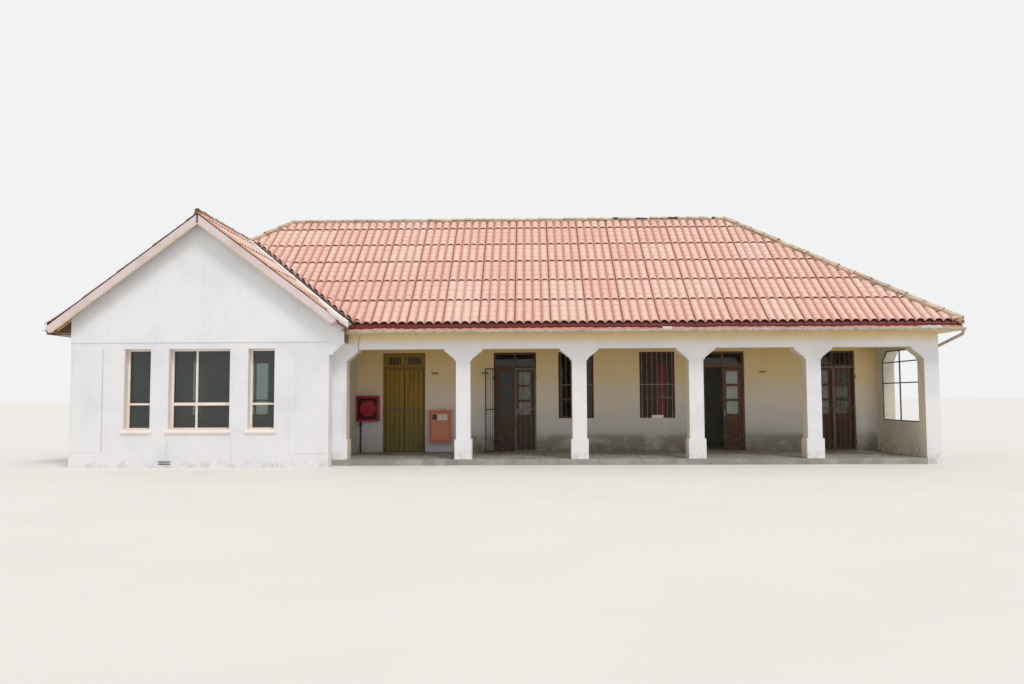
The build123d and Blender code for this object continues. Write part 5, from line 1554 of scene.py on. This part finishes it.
@dataclass
class PorchWindows:
    """Upright bars and a cross bar in front of both windows, and closed board shutters behind the second."""

    centres: tuple[float, ...] = (1.916, 4.217)
    width: float = 1.0
    foot: float = 1.08
    head: float = 2.96
    bar_radius: float = 0.009
    bar_count: int = 7
    cross: float = 2.03

    def grille(self, number: int) -> Shape:
        """Rods spaced evenly over one opening, with one cross bar at half the height."""
        centre = self.centres[number]
        x = centre - self.width / 2 + (np.arange(self.bar_count) + 0.5) * self.width / self.bar_count
        low = [(a, -0.915, self.foot + 0.001) for a in x]
        high = [(a, -0.915, self.head - 0.001) for a in x]
        half = self.width / 2 - 0.001
        cross = bars([(centre - half, centre + half, -0.929, -0.924, self.cross - 0.012,
                       self.cross + 0.012)])
        return joined([rods(low, high, self.bar_radius, 8), cross])

    def curtain(self) -> Shape:
        """A drawn curtain behind the first window: y = y0 + 12 mm sin of the place across it."""
        x = np.linspace(self.centres[0] - 0.47, self.centres[0] + 0.47, 121)
        z = np.array([self.foot + 0.02, 1.6, 2.3, self.head - 0.02])
        y = -0.79 + 0.012 * np.sin(x * 70)[None, :] + 0 * z[:, None]
        return sheet(x, y, z[:, None])

    def shutters(self, red: bool) -> Shape:
        """Upright boards fill the second window's four lights, set back in the frame before the glass.

        Args:
            red: the red boards in the right half's middle, or all the others.

        Returns:
            The boards as one shape.
        """
        centre, bar, rail = self.centres[1], 0.055, 1.65
        rows, reds = [], []
        for a, b in ((centre - 0.445, centre - bar / 2), (centre + bar / 2, centre + 0.445)):
            step = (b - a) / 4
            for low, high in ((self.foot + bar, rail - bar / 2), (rail + bar / 2, self.head - bar)):
                for n in range(4):
                    row = (a + n * step + 0.003, a + (n + 1) * step - 0.003, -0.884, -0.868, low, high)
                    if a > centre and n < 2:
                        cut = high - 0.30 if low > rail else high
                        reds.append((*row[:4], low, cut))
                        rows += [(*row[:4], cut + 0.004, high)] if cut < high else []
                    else:
                        rows.append(row)
        return bars(reds if red else rows)

    def build(self, shop: Workshop) -> None:
        """Makes the bars, the curtain, the shutters and the block on the second window's sill."""
        shop.piece("porch_window_1_bars", self.grille(0), Palette.BROWN_IRON)
        shop.piece("porch_window_2_bars", self.grille(1), Palette.PALE_IRON)
        shop.piece("porch_window_1_curtain", self.curtain(), Palette.SHADOW_CLOTH, smooth=True,
                   shell=0.002)
        block = bars([(4.055, 4.385, -0.938, -0.893, 1.081, 1.162)])
        shop.pieces((
            ("porch_window_2_block", block, Palette.WHITE_BLOCK_AND_HIGHLIGHT, "white_wood", 0.006),
            ("porch_shutters", self.shutters(False), Palette.SHUTTER, "brown_wood", 0.002),
            ("porch_red_shutters", self.shutters(True), Palette.RED_SHUTTER, "brown_wood", 0.002)))


@dataclass
class Doors:
    """Planks, mouldings, beads, handles, blinds, the gates' latches and the fourth door's grille."""

    face: float = -0.865
    leaf_foot: float = 0.16
    leaf_head: float = 2.50
    stile: float = 0.095

    def leaf(self, centre: float, side: int) -> tuple[float, float]:
        """The X range of a closed leaf: from 52 mm inside the jamb to 3 mm from the middle."""
        ends = (centre + side * 0.539, centre + side * 0.003)
        return min(ends), max(ends)

    def planks(self, side: int) -> Shape:
        """Four planks with open joints on a leaf of the first door."""
        low, high = self.leaf(DOOR_CENTRES[0], side)
        low, high = low + 0.003, high - 0.003
        step = (high - low) / 4
        rows = [(low + n * step + 0.006, low + (n + 1) * step - 0.006, self.face - 0.010, self.face - 0.0002,
                 self.leaf_foot + 0.004, self.leaf_head - 0.004) for n in range(4)]
        return bars(rows)

    def plank_strap(self, side: int) -> Shape:
        """A flat strap across the planks."""
        low, high = self.leaf(DOOR_CENTRES[0], side)
        return bars([(low + 0.03, high - 0.03, self.face - 0.0125, self.face - 0.0102, 1.325, 1.365)])

    def transom_board(self) -> Shape:
        """Boards that narrow the first door's two transom lights to small barred openings."""
        rows = []
        centre = DOOR_CENTRES[0]
        for side in (-1, 1):
            x0, x1 = sorted((centre + side * 0.03, centre + side * 0.545))
            a, b = x0 + 0.07, x1 - 0.07
            y = (-0.8895, -0.8775)
            rows += [(x0, x1, *y, 2.576, 2.628), (x0, x1, *y, 2.842, 2.90), (x0, a, *y, 2.628, 2.842),
                     (b, x1, *y, 2.628, 2.842)]
        return bars(rows)

    def transom_rods(self) -> Shape:
        """Four upright slats in each of the small openings."""
        centre = DOOR_CENTRES[0]
        shifts = (-0.135, -0.045, 0.045, 0.135)
        x = [centre + side * (0.2875 + shift) for side in (-1, 1) for shift in shifts]
        return bars([(a - 0.009, a + 0.009, -0.8875, -0.8795, 2.6285, 2.8415) for a in x])

    def transom_backing(self) -> Shape:
        """Dark boards close the small openings behind the slats: painted shade of the dark room behind them.
        """
        centre = DOOR_CENTRES[0]
        ends = [sorted((centre + side * 0.05, centre + side * 0.525)) for side in (-1, 1)]
        return bars([(a, b, -0.8765, -0.8725, 2.60, 2.87) for a, b in ends])

    def lights(self) -> list[tuple[float, float]]:
        """Foot and head of a glazed leaf's three lights."""
        height = (2.405 - 1.18 - 0.10) / 3
        return [(1.18 + n * (height + 0.05), 1.18 + n * (height + 0.05) + height) for n in range(3)]

    def mouldings(self, centre: float, side: int) -> Shape:
        """Beads round the lights and a raised field in the lower panel."""
        low, high = self.leaf(centre, side)
        a, b = low + self.stile, high - self.stile
        y = (self.face - 0.002, self.face + 0.012)
        rows = []
        for z0, z1 in self.lights():
            rows += frame_rows((a, b), y, (z0, z1), 0.006, 0.005)
        z0, z1 = 0.255, 1.085
        y = (self.face - 0.001, self.face + 0.0118)
        rows += frame_rows((a, b), y, (z0, z1), 0.014)
        y = (self.face + 0.002, self.face + 0.0118)
        rows += [(a + 0.05, b - 0.05, *y, z0 + 0.05, z1 - 0.05)]
        return bars(rows)

    def handle(self, centre: float, side: int, height: float = 1.22) -> Shape:
        """A back plate and a turned knob beside the meeting edge."""
        x = centre + side * 0.045
        plate = bars([(x - 0.018, x + 0.018, self.face - 0.004, self.face - 0.0002, height - 0.09,
                       height + 0.07)])
        profile = [(0, 0.048), (0.014, 0.046), (0.021, 0.036), (0.019, 0.026), (0.009, 0.018),
                   (0.008, 0.004), (0, 0.004)]
        return joined([plate, revolved(profile, (x, self.face, height), 16)])

    def lock(self) -> Shape:
        """The first door's small padlock and its staple."""
        x, z = DOOR_CENTRES[0] - 0.135, 1.335
        return joined([bars([(x - 0.030, x + 0.030, -0.892, -0.8756, z - 0.028, z + 0.018)]),
                       rods([(x - 0.04, -0.882, z + 0.024)], [(x + 0.06, -0.882, z + 0.024)], 0.006, 8)])

    def blind(self, centre: float, side: int, lights: Sequence[int]) -> Shape:
        """A thin cloth just behind the panes: y = y0 + 3 mm sin of the place across it."""
        low, high = self.leaf(centre, side)
        made = []
        for number in lights:
            z0, z1 = self.lights()[number]
            x = np.linspace(low + self.stile + 0.001, high - self.stile - 0.001, 25)
            z = np.array([z0 + 0.001, (z0 + z1) / 2, z1 - 0.001])
            y = -0.832 + 0.003 * np.sin(x * 110)[None, :] + 0 * z[:, None]
            made.append(sheet(x, y, z[:, None]))
        return joined(made)

    def grille(self) -> Shape:
        """Upright rods over the fourth door's transom, between a top and a foot rail."""
        centre = DOOR_CENTRES[3]
        x = centre - 0.602 + np.arange(1, 9) * 1.204 / 9
        made = rods([(a, -0.928, 2.512) for a in x], [(a, -0.928, 2.958) for a in x], 0.007, 8)
        rails = bars([(centre - 0.604, centre + 0.604, -0.940, -0.916, 2.506, 2.530),
                      (centre - 0.604, centre + 0.604, -0.940, -0.916, 2.936, 2.959)])
        return joined([made, rails])

    def latch(self) -> Shape:
        """A latch tongue that stands out from a gate leaf's free edge near its top."""
        x = DOOR_CENTRES[1] - 0.006
        return joined([bars([(x - 0.055, x - 0.003, -0.9515, -0.9452, 2.33, 2.385)]),
                       rods([(x - 0.10, -0.955, 2.357)], [(x + 0.055, -0.955, 2.357)], 0.007, 8)])

    def lock_box(self, centre: float) -> Shape:
        """A flat lock case between the rods of a gate's right leaf, level with its middle rail."""
        x = centre + 0.038
        return bars([(x - 0.004, x + 0.075, -0.9505, -0.9455, 1.235, 1.325)])

    def build(self, shop: Workshop) -> None:
        """Makes the pieces of each door; the third door's open leaf is turned with its pieces."""
        for word, side in (("left", -1), ("right", 1)):
            shop.piece(f"door_1_{word}_planks", self.planks(side), Palette.OLIVE,
                       f"door_1_{word}", bevel=0.0025)
            shop.piece(f"door_1_{word}_strap", self.plank_strap(side), Palette.STRAP,
                       f"door_1_{word}", bevel=0.001)
        shop.piece("door_1_lock", self.lock(), Palette.RED, "door_1_left", bevel=0.002)
        shop.pieces((
            ("door_1_transom_board", self.transom_board(), Palette.OLIVE, "olive_wood", 0.0015),
            ("door_1_transom_slats", self.transom_rods(), Palette.OLIVE, "olive_wood", 0.001),
            ("door_1_transom_shade_backing", self.transom_backing(), Palette.DARK_IRON_AND_SHADE, "olive_wood", 0.001)))
        for number, finish in ((2, Palette.BROWN), (3, Palette.ORANGE), (4, Palette.BROWN)):
            centre = DOOR_CENTRES[number - 1]
            for word, side in (("left", -1), ("right", 1)):
                body = f"door_{number}_{word}"
                turn = 80.0 if body == "door_3_left" else 0.0
                pin = (centre + side * 0.542, LEAF_PIN_Y)
                shop.piece(f"{body}_mouldings", swung(self.mouldings(centre, side), pin, turn), finish,
                           body, bevel=0.0015)
        for number in (2, 3, 4):
            shop.piece(f"door_{number}_knob", self.handle(DOOR_CENTRES[number - 1], 1), Palette.BRASS,
                       f"door_{number}_right")
        for name, number, finish in (("door_2_curtain", 2, Palette.CURTAIN),
                                     ("door_3_blind", 3, Palette.BLIND)):
            shop.piece(name, self.blind(DOOR_CENTRES[number - 1], 1, (0, 1, 2)), finish,
                       f"door_{number}_right", smooth=True, shell=0.001)
        for word, side in (("left", -1), ("right", 1)):
            shop.piece(f"door_4_{word}_blind", self.blind(DOOR_CENTRES[3], side, (0, 1)), Palette.PAPER,
                       f"door_4_{word}", smooth=True, shell=0.001)
        shop.piece("door_4_grille", self.grille(), Palette.BROWN_IRON)
        latch = swung(self.latch(), (DOOR_CENTRES[1] - 0.602, GATE_PIN_Y), -114.0)
        shop.piece("gate_2_latch", latch, Palette.DARK_GATE, "gate_2_left")
        for number in (2, 4):
            shop.piece(f"gate_{number}_lock_case", self.lock_box(DOOR_CENTRES[number - 1]), Palette.GATE,
                       f"gate_{number}_right", bevel=0.002)


@dataclass
class Cabinets:
    """The hose reel's pressed face, the painted shade at the back of the hose cabinet's recess and the wall
    cabinet door's trims.
    """

    reel: tuple[float, float] = (-4.0, 1.38)
    radius: float = 0.228

    def reel_face(self) -> Shape:
        """A pressed disc: rings of radius and height, turned about the reel's axis."""
        r = self.radius
        profile = [(0, 0.014), (0.03, 0.014), (0.036, 0.008), (0.085, 0.007), (0.095, 0.012), (0.105, 0.012),
                   (0.115, 0.005), (r - 0.035, 0.004), (r - 0.028, 0.009), (r - 0.008, 0.009), (r, 0.004),
                   (r, 0.0003), (0, 0.0003)]
        return revolved(profile, (self.reel[0], -1.08, self.reel[1]), 48)

    def hose(self) -> Shape:
        """Turns of flat hose between the reel's flanges: rings side by side about its axis."""
        made = []
        for depth in (0.030, 0.052, 0.074):
            angle = np.linspace(0, 2 * np.pi, 41)[:-1]
            ring = np.linspace(0, 2 * np.pi, 9)[:-1]
            r = 0.196 + 0.011 * np.cos(ring)
            y = -0.970 - depth + 0.011 * np.sin(ring)
            grid = np.stack([self.reel[0] + r[:, None] * np.cos(angle), y[:, None] + 0 * angle[None],
                             self.reel[1] + r[:, None] * np.sin(angle)], axis=2)
            closed = np.concatenate([grid, grid[:1]], axis=0)
            made.append(closed_grid(closed, wrap=True))
        return joined(made)

    def door_frame(self) -> Shape:
        """A folded rim round the wall cabinet's door and a low rib under its plates."""
        x, y = (-2.2025, -1.6865), (-1.1575, CABINET_FACE)
        rib = (x[0] + 0.045, x[1] - 0.045, *y, 0.985, 0.997)
        return bars([*frame_rows(x, y, (0.4725, 1.2775), 0.03), rib])

    def plates(self) -> Shape:
        """Two blank pale plates near the door's top."""
        return bars([(-2.015, -1.875, -1.1535, CABINET_FACE, 1.045, 1.215),
                     (-1.868, -1.730, -1.1535, CABINET_FACE, 1.045, 1.215)])

    def dark_plate(self) -> Shape:
        """A dark red plate beside them."""
        return bars([(-2.165, -2.030, -1.1535, CABINET_FACE, 1.065, 1.210)])

    def recess(self) -> Shape:
        """A thin dark crimson panel on the hose cabinet's back, behind the reel: painted shade in the
        recess.
        """
        return bars([(-4.308, -3.692, -0.9718, -0.9702, 1.042, 1.718)])

    def valve(self) -> Shape:
        """The stop valve's body and wheel on the riser under the cabinet."""
        wheel = revolved([(0, 0.050), (0.030, 0.050), (0.034, 0.045), (0.030, 0.040), (0, 0.040)],
                         (-4.2, -1.072, 0.93), 20)
        return joined([rods([(-4.2, -1.05, 0.88)], [(-4.2, -1.05, 0.98)], 0.032, 14),
                       rods([(-4.2, -1.07, 0.93)], [(-4.2, -1.115, 0.93)], 0.010, 8), wheel])

    def build(self, shop: Workshop) -> None:
        """Makes the cabinets' pieces."""
        shop.piece("reel_face", self.reel_face(), Palette.RED, weld=0.0002)
        shop.piece("reel_hose", self.hose(), Palette.DARK_CRIMSON_AND_RECESS_SHADE, smooth=True, weld=0.0002)
        shop.piece("hose_cabinet_recess_shade", self.recess(), Palette.DARK_CRIMSON_AND_RECESS_SHADE)
        shop.piece("riser_valve", self.valve(), Palette.DARK_CRIMSON_AND_RECESS_SHADE, weld=0.0002)
        shop.pieces((
            ("cabinet_door_rim", self.door_frame(), Palette.SALMON, "orange_metal", 0.002),
            ("cabinet_door_plates", self.plates(), Palette.BLANK_PLATE, "orange_metal", 0.001),
            ("cabinet_door_dark_plate", self.dark_plate(), Palette.DARK_CRIMSON_AND_RECESS_SHADE, "orange_metal", 0.001)),
            "wall_cabinet_door")


@dataclass
class PorchDetails:
    """The conduit on the beam, and the sills of the windows round the sides and back."""

    def conduit(self) -> Shape:
        """A thin pipe down the beam beside the first pier, bent twice."""
        route = np.array([(-3.66, -3.957, 3.262), (-3.70, -3.957, 3.10), (-3.70, -3.957, 2.80),
                          (-3.68, -3.957, 2.755)])
        return rods(route[:-1], route[1:], 0.007, 8)

    def outer_sills(self) -> Shape:
        """Sloped sills under the windows of the left, right and rear walls."""
        left = [-4.15 + 8.6 / 3 * (n + 0.5) for n in range(3)]
        right = [-0.95 + 5.4 / 2 * (n + 0.5) for n in range(2)]
        rear = [-10.74 + 21.48 / 6 * (n + 0.5) for n in range(6)]
        rows = [(-10.765, -10.741, c - 0.54, c + 0.54, 1.02, 1.08) for c in left]
        rows += [(10.741, 10.765, c - 0.54, c + 0.54, 1.02, 1.08) for c in right]
        rows += [(c - 0.54, c + 0.54, 4.451, 4.475, 1.02, 1.08) for c in rear]
        return bars(rows)

    def build(self, shop: Workshop) -> None:
        """Makes the details."""
        shop.piece("beam_conduit", self.conduit(), Palette.SMALL_METAL)
        shop.piece("outer_sills", self.outer_sills(), Palette.WALL, bevel=0.008)


NODE_FINISHES: dict[Palette, tuple[str, ...]] = {
    Palette.WALL: ("left_wall", "rear_wall", "right_wall", "wing_gable"),
    Palette.CORBEL: ("wing_corbel",),
    Palette.WING: ("wing_front_wall",),
    Palette.BEAM: ("arcade_beam", "arcade_piers"),
    Palette.SIDE_WALL: ("porch_side_wall", "wing_side_wall"),
    Palette.BACK_WALL: ("porch_back_wall", "door_lintels"),
    Palette.PORCH_FLOOR: ("porch_floor",),
    Palette.ROOM_FLOOR: ("room_floor",),
    Palette.FASCIA: ("eave_fascia",),
    Palette.ROOF_WOOD: ("roof_deck",),
    Palette.CEILING: ("ceiling",),
    Palette.PEACH: ("wing_windows",),
    Palette.OUTER_FRAME: ("outer_windows",),
    Palette.PORCH_FRAME: ("porch_windows",),
    Palette.OLIVE_SHADE: ("door_1_left", "door_1_right"),
    Palette.BROWN: ("door_2_left", "door_2_right", "door_4_left", "door_4_right"),
    Palette.ORANGE: ("door_3_left", "door_3_right"),
    Palette.DOOR_FRAMES: ("door_frames",),
    Palette.GATE: ("gate_2_right",),
    Palette.DARK_GATE: ("gate_2_left", "gate_hinges"),
    Palette.BROWN_IRON: ("gate_4_left", "gate_4_right"),
    Palette.LIGHT_IRON: ("side_opening_frame",),
    Palette.GUTTER: ("front_gutter", "downpipe"),
    Palette.SMALL_METAL: ("wall_fittings",),
    Palette.RED: ("fire_cabinet", "hose_reel"),
    Palette.DARK_CRIMSON_AND_RECESS_SHADE: ("fire_riser",),
    Palette.SALMON: ("wall_cabinet",),
    Palette.SALMON_DOOR: ("wall_cabinet_door",),
    Palette.GLASS: ("window_glass",),
    Palette.DARK_PANE: ("door_2_left_glass", "door_3_left_glass"),
    Palette.PANE: ("door_2_right_glass", "door_3_right_glass", "door_4_left_glass", "door_4_right_glass"),
}


# The studio


@dataclass
class Studio:
    """A pale floor, soft light, a white surround and the camera at the photograph's angle."""

    focal: float = 860.0
    width: int = 1024
    yaw: float = 1.1
    pitch: float = 3.66
    roll: float = 0.26
    eye: tuple[float, float, float] = (0.57, -25.47, 1.69)
    ambient: float = 0.77
    key: float = 1.25
    key_travel: tuple[float, float, float] = (-0.34, 0.50, -0.80)
    key_angle: float = 16.0

    def floor(self) -> None:
        """A wide level disc at the building's foot, made of rings that grow wider outwards."""
        radius = np.array([0.0, 12.0, 30.0, 60.0, 120.0, 400.0])
        angle = np.linspace(0, 2 * np.pi, 65)[:-1]
        shape = sheet(radius[:, None] * np.cos(angle), radius[:, None] * np.sin(angle), -0.0005, wrap=True)
        mesh = bpy.data.meshes.new("studio_floor")
        mesh.from_pydata(shape.points.tolist(), [], shape.faces[0].tolist())
        Workshop.weld(mesh, 1e-5)
        s = Shader("studio_floor", 0.9, specular=0.1)
        s.paint(s.mix(s.fade(s.noise(0.4, 2), 0.3, 0.7), shade((231, 229, 225)), shade((228, 226, 222))))
        mesh.materials.append(s.material)
        ground = bpy.data.objects.new("studio_floor", mesh)
        bpy.context.scene.collection.objects.link(ground)

    def surround(self) -> None:
        """White where the camera, a reflection or a view through glass meets it, else soft light."""
        world = bpy.data.worlds.new("studio_surround")
        bpy.context.scene.world = world
        world.use_nodes = True
        tree = world.node_tree
        tree.nodes.clear()
        path = tree.nodes.new("ShaderNodeLightPath")
        seen, either = (tree.nodes.new("ShaderNodeMath") for _ in range(2))
        seen.operation = either.operation = "MAXIMUM"
        soft, white = (tree.nodes.new("ShaderNodeBackground") for _ in range(2))
        both = tree.nodes.new("ShaderNodeMixShader")
        out = tree.nodes.new("ShaderNodeOutputWorld")
        for node, colour, strength in ((soft, (1.0, 0.995, 0.985, 1), self.ambient),
                                       (white, (0.88, 0.89, 0.90, 1), 1.0)):
            node.inputs["Color"].default_value = colour
            node.inputs["Strength"].default_value = strength
        links = ((path.outputs["Is Camera Ray"], seen.inputs[0]),
                 (path.outputs["Is Glossy Ray"], seen.inputs[1]),
                 (seen.outputs[0], either.inputs[0]),
                 (path.outputs["Is Transmission Ray"], either.inputs[1]),
                 (either.outputs[0], both.inputs[0]),
                 (soft.outputs[0], both.inputs[1]),
                 (white.outputs[0], both.inputs[2]),
                 (both.outputs[0], out.inputs["Surface"]))
        for source, target in links:
            tree.links.new(source, target)

    def light(self) -> None:
        """One broad key from the front right and above."""
        lamp = bpy.data.lights.new("key_light", "SUN")
        lamp.energy = self.key
        lamp.angle = math.radians(self.key_angle)
        lamp.color = (1.0, 0.985, 0.96)
        holder = bpy.data.objects.new("key_light", lamp)
        holder.rotation_mode = "QUATERNION"
        holder.rotation_quaternion = Vector(self.key_travel).to_track_quat("-Z", "Y")
        bpy.context.scene.collection.objects.link(holder)

    def camera(self) -> None:
        """The camera: its axes come from yaw to the left, pitch upwards and roll, as three unit vectors."""
        yaw, pitch, roll = (math.radians(a) for a in (self.yaw, self.pitch, self.roll))
        forward = Vector((-math.sin(yaw) * math.cos(pitch), math.cos(yaw) * math.cos(pitch),
                          math.sin(pitch)))
        level = Vector((math.cos(yaw), math.sin(yaw), 0.0))
        upright = level.cross(forward)
        right = level * math.cos(roll) - upright * math.sin(roll)
        up = level * math.sin(roll) + upright * math.cos(roll)
        turn = Matrix((right, up, -forward)).transposed().to_4x4()
        lens = bpy.data.cameras.new("camera")
        lens.sensor_width = 36.0
        lens.lens = self.focal / self.width * 36.0
        lens.clip_end = 600.0
        holder = bpy.data.objects.new("camera", lens)
        holder.matrix_world = Matrix.Translation(self.eye) @ turn
        bpy.context.scene.collection.objects.link(holder)
        bpy.context.scene.camera = holder

    def build(self) -> None:
        """Sets up camera, floor, surround and light, and shows colours as they are written."""
        self.camera()
        self.floor()
        self.surround()
        self.light()
        bpy.context.scene.view_settings.view_transform = "Standard"


def main() -> None:
    """Loads the frame, builds every group in order and sets up the studio."""
    logging.basicConfig(level=logging.INFO, format="%(message)s")
    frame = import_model()
    shop = Workshop()
    shop.dress(frame["nodes"], NODE_FINISHES)
    for group in (SheetRoof(), Eaves(), WingFront(), PorchWindows(), Doors(), Cabinets(), PorchDetails()):
        LOG.info("building %s", type(group).__name__)
        group.build(shop)
    Studio().build()
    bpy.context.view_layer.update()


if __name__ == "__main__":
    main()
